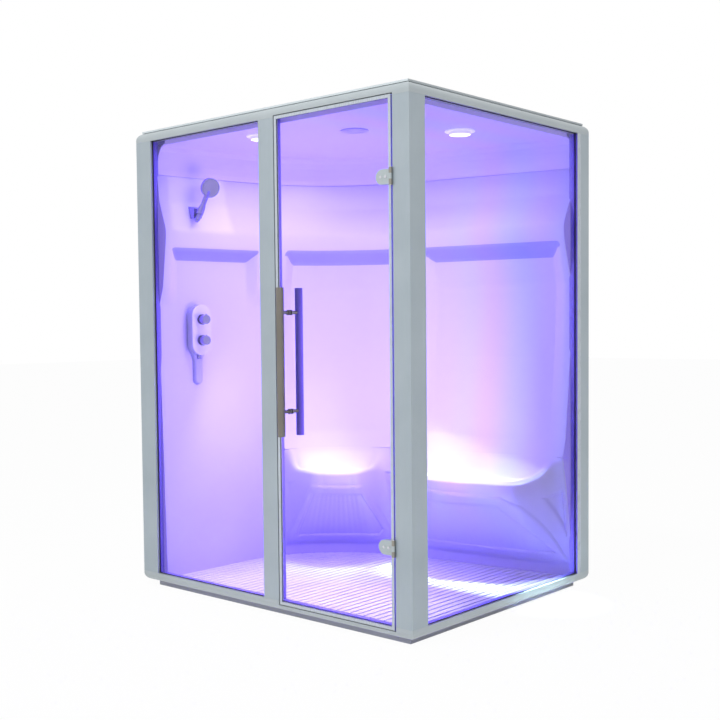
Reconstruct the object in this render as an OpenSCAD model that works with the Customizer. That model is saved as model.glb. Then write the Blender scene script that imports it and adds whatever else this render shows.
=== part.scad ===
// Steam sauna cabin: an aluminium frame with glass at the front and on the right, a glass door,
// and moulded acrylic walls, bench and ceiling inside. All sizes are in millimetres.
// The origin is the middle of the footprint on the floor, +Z is up and the door faces -Y.

/* [Cabin] */
// Width of the cabin along its front
cabin_w = 1600; // [1560:10:1700]
// Depth of the cabin from front to back
cabin_d = 1300; // [1270:10:1400]
// Height of the cabin
cabin_h = 2100; // [2060:10:2250]

/* [Frame] */
// Height of the recessed plinth under the frame
plinth_h = 27; // [20:1:40]
// Distance of the plinth from the outer faces
plinth_inset = 50; // [40:1:80]
// Width of the plinth beams
plinth_w = 50; // [40:1:80]
// Height of the bottom rails
low_rail_h = 43; // [41:1:60]
// Height of the top rails
top_rail_h = 44; // [40:1:60]
// Depth of the rails and posts, front to back
rail_t = 45; // [42:1:60]
// Radius of the rounded outer edge of the rails
rail_r = 32; // [10:1:36]
// Wall of the hollow extrusions
frame_wall = 4; // [2:0.5:5]
// Width of the front left post
left_post_w = 103; // [90:1:120]
// Depth of the side leg of the left and back posts
post_leg = 80; // [70:1:100]
// Distance of the middle post from the left face
mid_post_x = 808; // [780:1:850]
// Width of the middle post
mid_post_w = 88; // [60:1:100]
// Width of the near corner post on the front
near_post_w = 80; // [70:1:100]
// Width of the near corner post on the side
near_post_side = 94; // [80:1:110]
// Width of the far post on the side
far_post_side = 70; // [60:1:90]
// Width of the channel between the side glass and the far post
channel_w = 30; // [26:1:40]
// Thickness of the roof panel
roof_t = 8; // [4:1:12]
// Distance of the roof panel from the outer faces
roof_inset = 20; // [10:1:40]

/* [Glass and panels] */
// Thickness of the glass
glass_t = 8; // [6:1:10]
// Distance of the fixed glass behind the outer faces
glass_set = 12; // [10:1:16]
// Depth that the glass enters its groove
glass_in = 8; // [5:1:9]
// Depth of the grooves
groove_d = 10; // [10:1:12]
// Width of the rubber gasket that shows round the glass
gasket_w = 3; // [2:0.5:5]
// Thickness of the closed outer panels on the left and at the back
panel_t = 6; // [4:1:8]

/* [Door] */
// Depth of the door's rebate below the top of the bottom rail
door_drop = 18; // [12:1:22]
// Depth of the door's rebate above the lower edge of the top rail
door_rise = 8; // [6:1:10]
// Gap round the door leaf
door_gap = 3; // [2:0.5:4]
// Gap between the door leaf and the near post, for the hinges
hinge_gap = 9; // [8:0.5:12]
// Distance of the edge trim behind the front face of the frame
door_set = 2; // [1:0.5:4]
// Thickness of the edge trim, front to back
trim_t = 12; // [11:1:14]
// Width of the edge trim
trim_w = 13; // [10:1:18]
// Depth of the rebate in the rails
rebate_t = 20; // [18:1:24]

/* [Hinges] */
// How far the upper hinge is below the top of the door leaf
hinge_drop = 301; // [200:1:500]
// Height of the lower hinge above the floor
hinge_low = 368; // [250:1:600]
// Height of the rounded plates on the glass
plate_h = 57; // [50:1:70]
// Length of the rounded plates on the glass
plate_l = 68; // [55:1:90]
// Thickness of the plates
plate_t = 5; // [4:0.5:7]
// Height of the whole knuckle
knuckle_h = 64; // [58:1:80]
// Radius of the knuckle
knuckle_r = 6.5; // [5.5:0.5:8]
// Radius of the hinge pin
pin_r = 3; // [2:0.5:4]

/* [Handle] */
// Distance of the handle from the left edge of the door leaf
handle_in = 72; // [50:1:120]
// Length of the handle tubes
handle_l = 600; // [400:10:800]
// Height of the middle of the handle
handle_z = 1058; // [900:1:1150]
// Radius of the handle tubes
handle_r = 16; // [12:0.5:19]
// Wall of the handle tubes
handle_wall = 1.5; // [1:0.25:3]
// Distance of the tube axes from the middle of the glass
handle_off = 55; // [45:1:70]
// Distance between the two standoffs
standoff_pitch = 400; // [250:10:500]
// Radius of the standoffs
standoff_r = 7; // [6:0.5:10]
// Radius of the bosses on the glass
boss_r = 11; // [10:0.5:16]

/* [Base and floor] */
// Thickness of the tray floor
tray_t = 4; // [3:1:8]
// Width of a floor slat
slat_w = 28; // [20:0.5:32]
// Distance from one slat to the next
slat_pitch = 36.5; // [34:0.5:45]
// Thickness of the slats
slat_t = 8; // [6:1:12]
// Height of the bearers under the slats
bearer_h = 5.7; // [5:0.1:12]
// Width of the bearers
bearer_w = 40; // [20:1:60]
// Radius of the waste bore
waste_r = 20; // [15:1:25]

/* [Walls] */
// Distance of the left wall from the left face, at its front end
wall_x = 97; // [90:1:115]
// Distance of the back wall from the back face, at its right end
wall_back = 66; // [62:1:90]
// Angle by which both walls close in towards the corner
wall_lean = 9.5; // [4:0.5:12]
// Radius of the rounded corner of the walls
corner_r = 680; // [500:10:750]
// Thickness of the moulded walls
shell_t = 8; // [6:1:12]
// How far the seam between walls and ceiling is below the flat ceiling
seam_drop = 130; // [100:5:180]
// How far the crest above the backrests is below the seam
crest_drop = 253; // [200:1:300]
// How far the crest stands out from the seam
crest_out = 85; // [50:1:100]
// How far the waist of the backrests is below the crest
waist_drop = 261; // [200:1:350]
// How far the waist stands out from the seam
waist_out = 24; // [10:1:40]
// Height of the joint between backrest and bench
bench_joint_z = 600; // [580:1:640]
// How far the foot of the backrest stands out from the seam
bench_joint_out = 95; // [80:1:110]
// How far the crest of the shower wall stands out
shower_crest_out = 55; // [30:1:75]
// Length of the shower wall along its run
shower_run = 640; // [560:5:680]
// Depth of the sunk panels at their top
panel_sink = 35; // [10:1:45]
// Width of the bevel round the sunk panels
bevel = 50; // [30:1:60]

/* [Seats] */
// Height of the front edge of the seats above the floor
seat_z = 503; // [470:1:520]
// How far the seats stand out from the seam
seat_out = 330; // [280:5:360]
// Half the width of the corner seat
corner_seat_half = 312; // [260:1:330]
// How far the end of the back seat rises to the wall
seat_rise = 70; // [20:5:80]
// Length over which it rises
seat_ramp = 170; // [100:5:200]
// Radius of the seat edge
seat_edge_r = 20; // [14:1:26]
// Height of the fascia under the seat edge
fascia_h = 60; // [40:1:80]
// Height of the skirting at the foot of the moulding
skirting_h = 62; // [40:1:100]
// How far the foot stands out at the front end of the shower wall
foot_front_out = 25; // [0:1:40]
// How far the foot steps back where the bench begins
foot_mid_back = 60; // [20:1:60]
// How far the foot steps back at the end of the bench
foot_end_back = 5; // [2:1:8]

/* [Ceiling and lights] */
// How far the flat ceiling is below the top of the cabin
ceiling_drop = 70; // [65:1:110]
// Width of the cove round the ceiling
cove_w = 50; // [30:5:150]
// Thickness of the ceiling
ceiling_t = 6; // [4:1:8]
// Radius of the trim ring of a downlight
lamp_ring_r = 65; // [50:1:80]
// Radius of the drum of a downlight
lamp_drum_r = 47; // [35:1:48]
// Height of the drum below the ceiling
lamp_drum_h = 22; // [12:1:30]

/* [Shower] */
// How far the middle of the shower valve is below the waist
valve_drop = 196; // [176:1:286]
// Place of the valve along the left wall
valve_run = 189; // [160:1:320]
// Height of the valve housing
housing_h = 235; // [200:1:250]
// Width of the valve housing
housing_w = 102; // [90:1:120]
// Depth of the valve housing
housing_t = 55; // [40:1:65]
// Distance between the two valve knobs
knob_pitch = 97; // [80:1:110]
// Radius of the valve knobs
knob_r = 21; // [17:0.5:26]
// Length of the valve knobs
knob_l = 36; // [28:1:50]
// Place of the shower bracket along the left wall
bracket_run = 165; // [120:1:300]
// How far the shower bracket is above the crest
bracket_rise = 58; // [43:1:93]
// Radius of the spray head
spray_r = 45; // [40:1:65]
// Length of the handset's handle
grip_l = 150; // [120:1:190]
// Radius of the handset's handle
grip_r = 11.5; // [9:0.5:14]

/* [Steam] */
// Width of the steam generator
boiler_w = 300; // [220:5:340]
// Depth of the steam generator
boiler_d = 190; // [120:5:200]
// Height of the steam generator
boiler_h = 120; // [90:5:130]
// Height of the steam outlet
outlet_z = 190; // [150:5:260]
// Outer radius of the steam pipe
pipe_r = 11; // [9:0.5:14]
// Radius of the steam outlet's cover
outlet_r = 26; // [20:1:30]

/* [Hidden] */
$fn = 64;

// Gap between parts that rest on each other
seat_gap = 0.3;
// Overrun of every cut
over = 2;
// Running clearance of pins and shafts
fit = 0.05;
alu = [0.70, 0.74, 0.76];
acrylic = [0.95, 0.94, 0.98];
steel = [0.72, 0.71, 0.68];
clear = [0.80, 0.85, 0.95, 0.35];

low_top = plinth_h + low_rail_h;
top_low = cabin_h - roof_t - top_rail_h;
inner_x = cabin_w - rail_t;
inner_y = cabin_d - rail_t;
mid_right = mid_post_x + mid_post_w;
near_x = cabin_w - near_post_w;
far_y = cabin_d - far_post_side;
channel_y = far_y - channel_w;
open_h = top_low - low_top;
ceiling_z = cabin_h - ceiling_drop;
seam_z = ceiling_z - seam_drop;
crest_z = seam_z - crest_drop;
waist_z = crest_z - waist_drop;
valve_z = waist_z - valve_drop;
bracket_z = crest_z + bracket_rise;
glass_mid = door_set + trim_t / 2;
handle_reach = handle_off + handle_r - glass_mid;

// Places everything in the middle of the footprint, from the front left corner of the floor
module in_cabin() {
    translate([-cabin_w / 2, (handle_reach - cabin_d) / 2, 0])
        children();
}

// A box from its lowest to its highest corner
module box(low, high) {
    translate(low)
        cube(high - low);
}

// Round bar along Y
module bar_y(r, y0, y1) {
    translate([0, y0, 0])
        rotate([-90, 0, 0])
            cylinder(r = r, h = y1 - y0);
}

// Round bar along X
module bar_x(r, x0, x1) {
    translate([x0, 0, 0])
        rotate([0, 90, 0])
            cylinder(r = r, h = x1 - x0);
}

// Grooves of the four fixed panes, cut from the frame
groove_w = glass_t + 2 * seat_gap;
panel_groove_w = panel_t + 2 * seat_gap;
groove_set = glass_set - (groove_w - glass_t) / 2;
panel_groove_set = glass_set - (panel_groove_w - panel_t) / 2;
module grooves() {
    z0 = low_top - groove_d;
    z1 = top_low + groove_d;
    box([left_post_w - groove_d, groove_set, z0], [mid_post_x + groove_d, groove_set + groove_w, z1]);
    box([cabin_w - groove_set - groove_w, near_post_side - groove_d, z0],
        [cabin_w - groove_set, channel_y + groove_d, z1]);
    box([panel_groove_set, post_leg - groove_d, z0],
        [panel_groove_set + panel_groove_w, cabin_d - post_leg + groove_d, z1]);
    box([post_leg - groove_d, cabin_d - panel_groove_set - panel_groove_w, z0],
        [cabin_w - near_post_w + groove_d, cabin_d - panel_groove_set, z1]);
}

// Room that the door leaf closes into, cut from the rails
rebate_low = low_top - door_drop;
rebate_high = top_low + door_rise;
module door_rebate() {
    box([mid_right, -over, rebate_low], [near_x, rebate_t, rebate_high]);
}

// Section of a rail, outer face at zero, with its outer edge rounded
chamber_low = low_rail_h - max(door_drop, groove_d) - 2 * frame_wall;
chamber_top = top_rail_h - max(door_rise, groove_d) - 2 * frame_wall;
edge_r = min(rail_r, low_rail_h - frame_wall, top_rail_h - frame_wall);
module rail_section(h, chamber) {
    difference() {
        square([rail_t, h]);
        difference() {
            translate([-over, -over])
                square(edge_r + over);
            translate([edge_r, edge_r])
                circle(edge_r);
        }
        translate([edge_r * 0.75, frame_wall])
            square([rail_t - frame_wall - edge_r * 0.75, chamber]);
    }
}

// Rail along X with mitred ends, for the front; the section's rounded edge is at the bottom
module mitred_rail(length, h, chamber) {
    intersection() {
        rotate([90, 0, 90])
            linear_extrude(length)
                rail_section(h, chamber);
        translate([0, 0, -over])
            linear_extrude(h + 2 * over)
                polygon([[0, 0], [length, 0], [length - rail_t, rail_t], [rail_t, rail_t]]);
    }
}

// The four sides in turn: front, right, back and left
module on_side(side) {
    if (side == 0) children();
    if (side == 1) translate([cabin_w, 0, 0]) rotate([0, 0, 90]) children();
    if (side == 2) translate([cabin_w, cabin_d, 0]) rotate([0, 0, 180]) children();
    if (side == 3) translate([0, cabin_d, 0]) rotate([0, 0, 270]) children();
}

module low_rail(side) {
    color(alu) in_cabin() difference() {
        on_side(side)
            translate([0, 0, plinth_h])
                mitred_rail(side % 2 == 0 ? cabin_w : cabin_d, low_rail_h, chamber_low);
        grooves();
        door_rebate();
    }
}

module top_rail(side) {
    color(alu) in_cabin() difference() {
        on_side(side)
            translate([0, 0, top_low + top_rail_h])
                mirror([0, 0, 1])
                    mitred_rail(side % 2 == 0 ? cabin_w : cabin_d, top_rail_h, chamber_top);
        grooves();
        door_rebate();
    }
}

// Hollow corner post with a leg along each side
module corner_section(w, d) {
    end = groove_d + frame_wall;
    difference() {
        polygon([[0, 0], [w, 0], [w, rail_t], [rail_t, rail_t], [rail_t, d], [0, d]]);
        polygon([[frame_wall, frame_wall], [w - end, frame_wall], [w - end, rail_t - frame_wall],
            [rail_t - frame_wall, rail_t - frame_wall], [rail_t - frame_wall, d - end],
            [frame_wall, d - end]]);
    }
}

module corner_post(corner, w, d) {
    color(alu) in_cabin() difference() {
        translate([0, 0, low_top + seat_gap]) {
            if (corner == 0) linear_extrude(open_h - 2 * seat_gap) corner_section(w, d);
            if (corner == 1) translate([cabin_w, 0, 0]) mirror([1, 0, 0])
                linear_extrude(open_h - 2 * seat_gap) corner_section(w, d);
            if (corner == 2) translate([cabin_w, cabin_d, 0]) rotate([0, 0, 180])
                linear_extrude(open_h - 2 * seat_gap) corner_section(w, d);
            if (corner == 3) translate([0, cabin_d, 0]) mirror([0, 1, 0])
                linear_extrude(open_h - 2 * seat_gap) corner_section(w, d);
        }
        grooves();
    }
}

module post_middle() {
    color(alu) in_cabin() difference() {
        box([mid_post_x, 0, low_top + seat_gap], [mid_right, rail_t, top_low - seat_gap]);
        box([mid_post_x + groove_d + frame_wall, frame_wall, low_top - over],
            [mid_right - frame_wall, rail_t - frame_wall, top_low + over]);
        grooves();
    }
}

module side_channel() {
    color([0.80, 0.83, 0.86]) in_cabin() difference() {
        box([inner_x, channel_y, low_top + seat_gap], [cabin_w, far_y - seat_gap, top_low - seat_gap]);
        box([inner_x + frame_wall, channel_y + groove_d + frame_wall, low_top - over],
            [cabin_w - frame_wall, far_y - frame_wall, top_low + over]);
        grooves();
    }
}

module plinth() {
    color([0.58, 0.60, 0.61]) in_cabin() difference() {
        box([plinth_inset, plinth_inset, 0], [cabin_w - plinth_inset, cabin_d - plinth_inset, plinth_h]);
        box([plinth_inset + plinth_w, plinth_inset + plinth_w, -over],
            [cabin_w - plinth_inset - plinth_w, cabin_d - plinth_inset - plinth_w, plinth_h + over]);
    }
}

module roof_panel() {
    color([0.84, 0.87, 0.88]) in_cabin()
        box([roof_inset, roof_inset, cabin_h - roof_t],
            [cabin_w - roof_inset, cabin_d - roof_inset, cabin_h]);
}

// Fixed panes and the rubber that shows round them
module front_glass() {
    color(clear) in_cabin()
        box([left_post_w - glass_in, glass_set, low_top - glass_in],
            [mid_post_x + glass_in, glass_set + glass_t, top_low + glass_in]);
}

module side_glass() {
    color(clear) in_cabin()
        box([cabin_w - glass_set - glass_t, near_post_side - glass_in, low_top - glass_in],
            [cabin_w - glass_set, channel_y + glass_in, top_low + glass_in]);
}

gasket_t = 2.5;
module front_gasket() {
    x0 = left_post_w + seat_gap;
    x1 = mid_post_x - seat_gap;
    z0 = low_top + seat_gap;
    z1 = top_low - seat_gap;
    y1 = glass_set - seat_gap;
    color("dimgray") in_cabin() difference() {
        box([x0, y1 - gasket_t, z0], [x1, y1, z1]);
        box([x0 + gasket_w, -over, z0 + gasket_w], [x1 - gasket_w, rail_t, z1 - gasket_w]);
    }
}

module side_gasket() {
    y0 = near_post_side + seat_gap;
    y1 = channel_y - seat_gap;
    z0 = low_top + seat_gap;
    z1 = top_low - seat_gap;
    x0 = cabin_w - glass_set + seat_gap;
    color("dimgray") in_cabin() difference() {
        box([x0, y0, z0], [x0 + gasket_t, y1, z1]);
        box([inner_x, y0 + gasket_w, z0 + gasket_w], [cabin_w + over, y1 - gasket_w, z1 - gasket_w]);
    }
}
module gaskets() {
    front_gasket();
    side_gasket();
}

module panel_left() {
    color("whitesmoke") in_cabin()
        box([glass_set, post_leg - glass_in, low_top - glass_in],
            [glass_set + panel_t, cabin_d - post_leg + glass_in, top_low + glass_in]);
}

// The back panel has round holes for the two water pipes
inlet_pitch = 150;
inlet_x = [for (k = [1, 2]) cabin_w - near_post_w - k * inlet_pitch];
inlet_z = bench_joint_z - inlet_pitch / 4;
inlet_r = 10.5;
module panel_back() {
    color("whitesmoke") in_cabin() difference() {
        box([post_leg - glass_in, cabin_d - glass_set - panel_t, low_top - glass_in],
            [cabin_w - near_post_w + glass_in, cabin_d - glass_set, top_low + glass_in]);
        for (x = inlet_x)
            translate([x, cabin_d, inlet_z])
                bar_y(inlet_r + seat_gap, -rail_t, over);
    }
}

// Plan of the inner walls: a straight left wall, a round corner and a straight back wall.
// Every place on it is given by its run from the front end of the left wall.
wall_front = [wall_x, rail_t + seat_gap];
wall_end = [inner_x - seat_gap, cabin_d - wall_back];
wall_span = wall_end - wall_front;
run_left = (wall_span.y * cos(wall_lean) - wall_span.x * sin(wall_lean)) / cos(2 * wall_lean);
run_back = (wall_span.x * cos(wall_lean) - wall_span.y * sin(wall_lean)) / cos(2 * wall_lean);
turn = 90 - 2 * wall_lean;
tangent_l = corner_r * tan(turn / 2);
arc_l = corner_r * turn * PI / 180;
arc_start = run_left - tangent_l;
arc_end = arc_start + arc_l;
run_end = arc_end + run_back - tangent_l;
left_dir = [sin(wall_lean), cos(wall_lean)];
back_dir = [cos(wall_lean), sin(wall_lean)];
arc_mid = wall_front + arc_start * left_dir + corner_r * [cos(wall_lean), -sin(wall_lean)];
end_blend = 90;

function wall_angle(s) = wall_lean + turn * min(max((s - arc_start) / arc_l, 0), 1);
function inward(s) = [cos(wall_angle(s)), -sin(wall_angle(s))];
function on_plan(s) =
    s <= arc_start ? wall_front + s * left_dir :
    s >= arc_end ? wall_end - (run_end - s) * back_dir :
    arc_mid - corner_r * inward(s);
// Direction in which the moulding stands out: square to the wall, and along the frame at both ends
function out_dir(s) = inward(s)
    + max(1 - s / end_blend, 0) * tan(wall_lean) * left_dir
    - max(1 - (run_end - s) / end_blend, 0) * tan(wall_lean) * back_dir;
function wall_point(s, out, z) =
    let (p = on_plan(s) + out * out_dir(s))
    [p.x, p.y, z];

// Closed solid between a grid of points on the room side and one behind it
module shell_between(room, back) {
    cols = len(room);
    rows = len(room[0]);
    count = cols * rows;
    points = concat([for (c = room) each c], [for (c = back) each c]);
    quads = [
        for (i = [0 : cols - 2], j = [0 : rows - 2])
            [i * rows + j, i * rows + j + 1, (i + 1) * rows + j + 1, (i + 1) * rows + j],
        for (i = [0 : cols - 2], j = [0 : rows - 2])
            [count + i * rows + j, count + (i + 1) * rows + j,
                count + (i + 1) * rows + j + 1, count + i * rows + j + 1],
        for (i = [0 : cols - 2])
            [i * rows, (i + 1) * rows, count + (i + 1) * rows, count + i * rows],
        for (i = [0 : cols - 2])
            [(i + 1) * rows - 1, count + (i + 1) * rows - 1,
                count + (i + 2) * rows - 1, (i + 2) * rows - 1],
        for (j = [0 : rows - 2])
            [j, count + j, count + j + 1, j + 1],
        for (j = [0 : rows - 2])
            [count - rows + j, count - rows + j + 1, 2 * count - rows + j + 1, 2 * count - rows + j]];
    polyhedron(points, [for (q = quads) each [[q[0], q[1], q[2]], [q[0], q[2], q[3]]]]);
}

function between(a, b, share) = a + (b - a) * share;
function steps(a, b, n) = [for (k = [0 : n]) between(a, b, k / n)];
function clamp01(t) = min(max(t, 0), 1);
function smooth(t) = clamp01(t) * clamp01(t) * (3 - 2 * clamp01(t));

// Smooth curve through a table of points, without corners
function place_in(t, x, i = 0) = i >= len(t) - 2 || x < t[i + 1].x ? i : place_in(t, x, i + 1);
function slope_at(t, i) =
    i == 0 ? (t[1].y - t[0].y) / (t[1].x - t[0].x) :
    i == len(t) - 1 ? (t[i].y - t[i - 1].y) / (t[i].x - t[i - 1].x) :
    (t[i + 1].y - t[i - 1].y) / (t[i + 1].x - t[i - 1].x);
function curve_part(a, b, ma, mb, u) =
    a + (b - a) * u * u * (3 - 2 * u) + u * (1 - u) * (ma * (1 - u) - mb * u);
function curve(t, x) =
    let(i = place_in(t, x), w = t[i + 1].x - t[i].x)
    curve_part(t[i].y, t[i + 1].y, slope_at(t, i) * w, slope_at(t, i + 1) * w, (x - t[i].x) / w);

// Section of a shell moved back by its thickness; the first and last points stay at their height
function unit(v) = v / norm(v);
function behind(line, t) = [for (i = [0 : len(line) - 1])
    let(a = line[max(i - 1, 0)], b = line[min(i + 1, len(line) - 1)], d = unit(b - a))
    i == 0 || i == len(line) - 1 ? line[i] - [t, 0] : line[i] + t * [-d.y, d.x]];

// Heights of the main lines of the walls
brow_z = between(seam_z, crest_z, 0.5);
nose_z = between(crest_z, waist_z, 0.18);
lip_z = between(crest_z, waist_z, 0.31);
sink_z = lip_z - bevel;
foot_z = plinth_h + tray_t + seat_gap;
skirting_z = foot_z + skirting_h;
housing_top = valve_z + housing_h / 2;
housing_low = valve_z - housing_h / 2;

// How far each wall stands out at a height
function back_out(z) = lookup(z, [
    [bench_joint_z, bench_joint_out],
    [between(bench_joint_z, waist_z, 0.1), bench_joint_out * 0.74],
    [between(bench_joint_z, waist_z, 0.45), between(waist_out, bench_joint_out, 0.24)],
    [between(bench_joint_z, waist_z, 0.7), waist_out * 0.9],
    [between(bench_joint_z, waist_z, 0.86), waist_out * 0.65],
    [waist_z, waist_out * 0.8],
    [lip_z, between(waist_out, crest_out, 0.84)],
    [nose_z, crest_out * 0.98],
    [crest_z, crest_out],
    [between(crest_z, brow_z, 0.5), crest_out * 0.64],
    [brow_z, crest_out * 0.22],
    [seam_z, 0]]);
function shower_out(z) = lookup(z, [
    [housing_top, 0],
    [waist_z, shower_crest_out * 0.5],
    [nose_z, shower_crest_out * 0.96],
    [crest_z, shower_crest_out],
    [brow_z, shower_crest_out * 0.25],
    [seam_z, 0]]);
function foot_out(s) = s < shower_run
    ? between(foot_front_out, -foot_mid_back, s / shower_run)
    : between(-foot_mid_back, -foot_end_back, (s - shower_run) / (run_end - shower_run));

// Sunk panels: first and last run of each, the shower wall's one first
panel_margin = 30;
panel_runs = [
    [panel_margin, shower_run - 4 * panel_margin],
    [shower_run + panel_margin, arc_end + panel_margin],
    [arc_end + 3 * panel_margin, run_end - panel_margin]];
function sunk(s, z, p) = clamp01(min(s - p[0], p[1] - s, lip_z - z) / bevel);
function back_face(s, z) = back_out(z)
    - panel_sink * max(sunk(s, z, panel_runs[1]), sunk(s, z, panel_runs[2]))
    * clamp01((z - bench_joint_z) / (sink_z - bench_joint_z));
function shower_face(s, z) = shower_out(z) * (1 - sunk(s, z, panel_runs[0]))
    + foot_out(s) * clamp01((housing_low - z) / (housing_low - foot_z));

// The two columns at each end run back to the frame as a rib that closes the moulding
function is_end(i, n) = i < 2 || i > n - 3;

backrest_cols = concat(
    [shower_run, shower_run + shell_t, panel_runs[1][0]],
    steps(panel_runs[1][0] + bevel, panel_runs[1][1] - bevel, 11),
    [panel_runs[1][1], panel_runs[2][0]],
    steps(panel_runs[2][0] + bevel, panel_runs[2][1] - bevel, 3),
    [panel_runs[2][1], run_end - shell_t, run_end]);
backrest_rows = concat(
    steps(bench_joint_z + seat_gap, waist_z, 7),
    [between(waist_z, sink_z, 0.5), sink_z, lip_z, nose_z, crest_z],
    [between(crest_z, brow_z, 0.5), brow_z, between(brow_z, seam_z, 0.5), seam_z]);
module backrest() {
    n = len(backrest_cols);
    room = [for (s = backrest_cols) [for (z = backrest_rows) wall_point(s, back_face(s, z), z)]];
    rear = [for (i = [0 : n - 1]) let(s = backrest_cols[i]) [for (z = backrest_rows)
        wall_point(s, (is_end(i, n) ? min(back_face(s, z), 0) : back_face(s, z)) - shell_t, z)]];
    color(acrylic) in_cabin()
        shell_between(room, rear);
}

// Shower wall, from the front end to the bench; it is flat behind the valve
shower_cols = concat(
    [0, shell_t, panel_runs[0][0]],
    steps(panel_runs[0][0] + bevel, panel_runs[0][1] - bevel, 4),
    [panel_runs[0][1], between(panel_runs[0][1], shower_run, 0.5), shower_run - shell_t,
        shower_run - seat_gap]);
shower_rows = concat(
    [foot_z, skirting_z, between(skirting_z, housing_low, 0.5), housing_low, housing_top],
    [waist_z, sink_z, lip_z, nose_z, crest_z, brow_z, between(brow_z, seam_z, 0.5), seam_z]);
tail_r = 9;
module shower_wall() {
    n = len(shower_cols);
    room = [for (s = shower_cols) [for (z = shower_rows) wall_point(s, shower_face(s, z), z)]];
    rear = [for (i = [0 : n - 1]) let(s = shower_cols[i]) [for (z = shower_rows)
        wall_point(s, (is_end(i, n) ? min(shower_face(s, z), 0) : shower_face(s, z)) - shell_t, z)]];
    color(acrylic) in_cabin() difference() {
        shell_between(room, rear);
        for (k = [-1, 1])
            at_wall(valve_run, 0, valve_z + k * knob_pitch / 2)
                bar_x(tail_r + seat_gap, -2 * shell_t, shell_t);
    }
}

// Moulded bench: how far its edge stands out, as shares along the corner seat and the back seat
corner_edge_shares = [[0, 0.03], [0.05, 0.35], [0.154, 0.77], [0.31, 0.91], [0.47, 0.945],
    [0.64, 0.90], [0.777, 0.77], [0.88, 0.38], [1, 0.21]];
back_edge_shares = [[0, 0.21], [0.08, 0.32], [0.184, 0.65], [0.353, 0.92], [0.484, 1],
    [0.653, 0.945], [0.8, 0.9], [0.88, 0.58], [0.94, 0.36], [1, 0.27]];
valley_run = shower_run + 2 * corner_seat_half;
function edge_out(s) = seat_out * (s < valley_run
    ? curve(corner_edge_shares, (s - shower_run) / (valley_run - shower_run))
    : curve(back_edge_shares, (s - valley_run) / (run_end - valley_run)));
function edge_z(s) = seat_z + seat_rise * smooth(1 - (run_end - s) / seat_ramp);

// Section of the bench from its foot over the skirt, the edge, the seat and the cove behind it:
// shares from the edge to the joint with the backrest, and shares of the rise to that joint
seat_shares = [[0.8, -0.02], [0.66, -0.01], [0.5, 0.06], [0.36, 0.2], [0.24, 0.38], [0.12, 0.62],
    [0.04, 0.82], [0, 1]];
skirt_shares = [[0, 0], [0.2, 0.17], [0.42, 0.4], [0.66, 0.66], [0.86, 0.87], [1, 1]];
function bench_section(s) =
    let(e = edge_out(s), f = foot_out(s), z = edge_z(s), reach = e - bench_joint_out,
        low = [f + shell_t, skirting_z + shell_t], high = [e - seat_edge_r * 0.7, z - fascia_h])
    concat(
        [[f, foot_z], [f, skirting_z]],
        [for (q = skirt_shares) [between(low.x, high.x, q[0]), between(low.y, high.y, q[1])]],
        [[e, z - seat_edge_r], [e - max(reach, 0) * 0.03, z - seat_edge_r * 0.3]],
        [[e - max(reach, 0) * 0.1, z]],
        [for (q = seat_shares) [bench_joint_out + reach * q[0],
            between(z, bench_joint_z, between(1 - q[0], q[1], smooth(reach / seat_out * 3)))]]);
bench_cols = concat(
    [shower_run, shower_run + shell_t],
    [for (k = [2 : 20]) between(shower_run, valley_run, k / 20)],
    [for (k = [1 : 21]) between(valley_run, run_end - shell_t, k / 21)],
    [run_end]);
outlet_tilt = atan((edge_out(valley_run) - seat_edge_r * 0.7 - foot_out(valley_run) - shell_t)
    / (seat_z - fascia_h - skirting_z - shell_t));
outlet_out = lookup(outlet_z, [for (p = bench_section(valley_run)) if (p.y < seat_z) [p.y, p.x]]);
module bench() {
    n = len(bench_cols);
    fronts = [for (s = bench_cols) bench_section(s)];
    backs = [for (line = fronts) behind(line, shell_t)];
    room = [for (i = [0 : n - 1]) [for (p = fronts[i]) wall_point(bench_cols[i], p.x, p.y)]];
    rear = [for (i = [0 : n - 1]) [for (j = [0 : len(backs[i]) - 1])
        is_end(i, n) ? wall_point(bench_cols[i], min(fronts[i][j].x, 0) - shell_t, fronts[i][j].y)
        : wall_point(bench_cols[i], backs[i][j].x, backs[i][j].y)]];
    color(acrylic) in_cabin() difference() {
        shell_between(room, rear);
        at_outlet()
            bar_x(pipe_r + seat_gap, -3 * shell_t, 3 * shell_t);
    }
}

// Local frames on the walls: X points into the room, Y runs along the wall
module at_wall(run, out, z) {
    p = wall_point(run, out, z);
    translate(p)
        rotate([0, 0, -wall_angle(run)])
            children();
}
module at_outlet() {
    at_wall(valley_run, outlet_out, outlet_z)
        rotate([0, outlet_tilt, 0])
            children();
}

// Ceiling with a cove along the walls and a lip against the rails at the front and on the right
ceiling_edge_x = inner_x - seat_gap;
ceiling_edge_y = rail_t + seat_gap;
cove_shares = [[0, 0], [0.02, 0.18], [0.08, 0.38], [0.2, 0.6], [0.4, 0.8], [0.68, 0.94], [1, 1]];
ceiling_lip = top_low + groove_d - ceiling_z;
ceiling_low = seam_z + seat_gap;
cove_line = [for (q = cove_shares) [cove_w * q[0], between(ceiling_low, ceiling_z, q[1])]];
cove_back = [for (p = behind(cove_line, ceiling_t)) if (p.x < cove_w - ceiling_t) p];
module cove_section() {
    polygon(concat(cove_line,
        [[cove_w + 2 * ceiling_t, ceiling_z], [cove_w + 2 * ceiling_t, ceiling_z + ceiling_t],
            [cove_w, ceiling_z + ceiling_t]],
        [for (i = [len(cove_back) - 1 : -1 : 0]) cove_back[i]]));
}
module cove_along(place, angle, length) {
    translate([place.x, place.y, 0])
        rotate([0, 0, -angle])
            rotate([90, 0, 0])
                linear_extrude(length)
                    cove_section();
}
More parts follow.
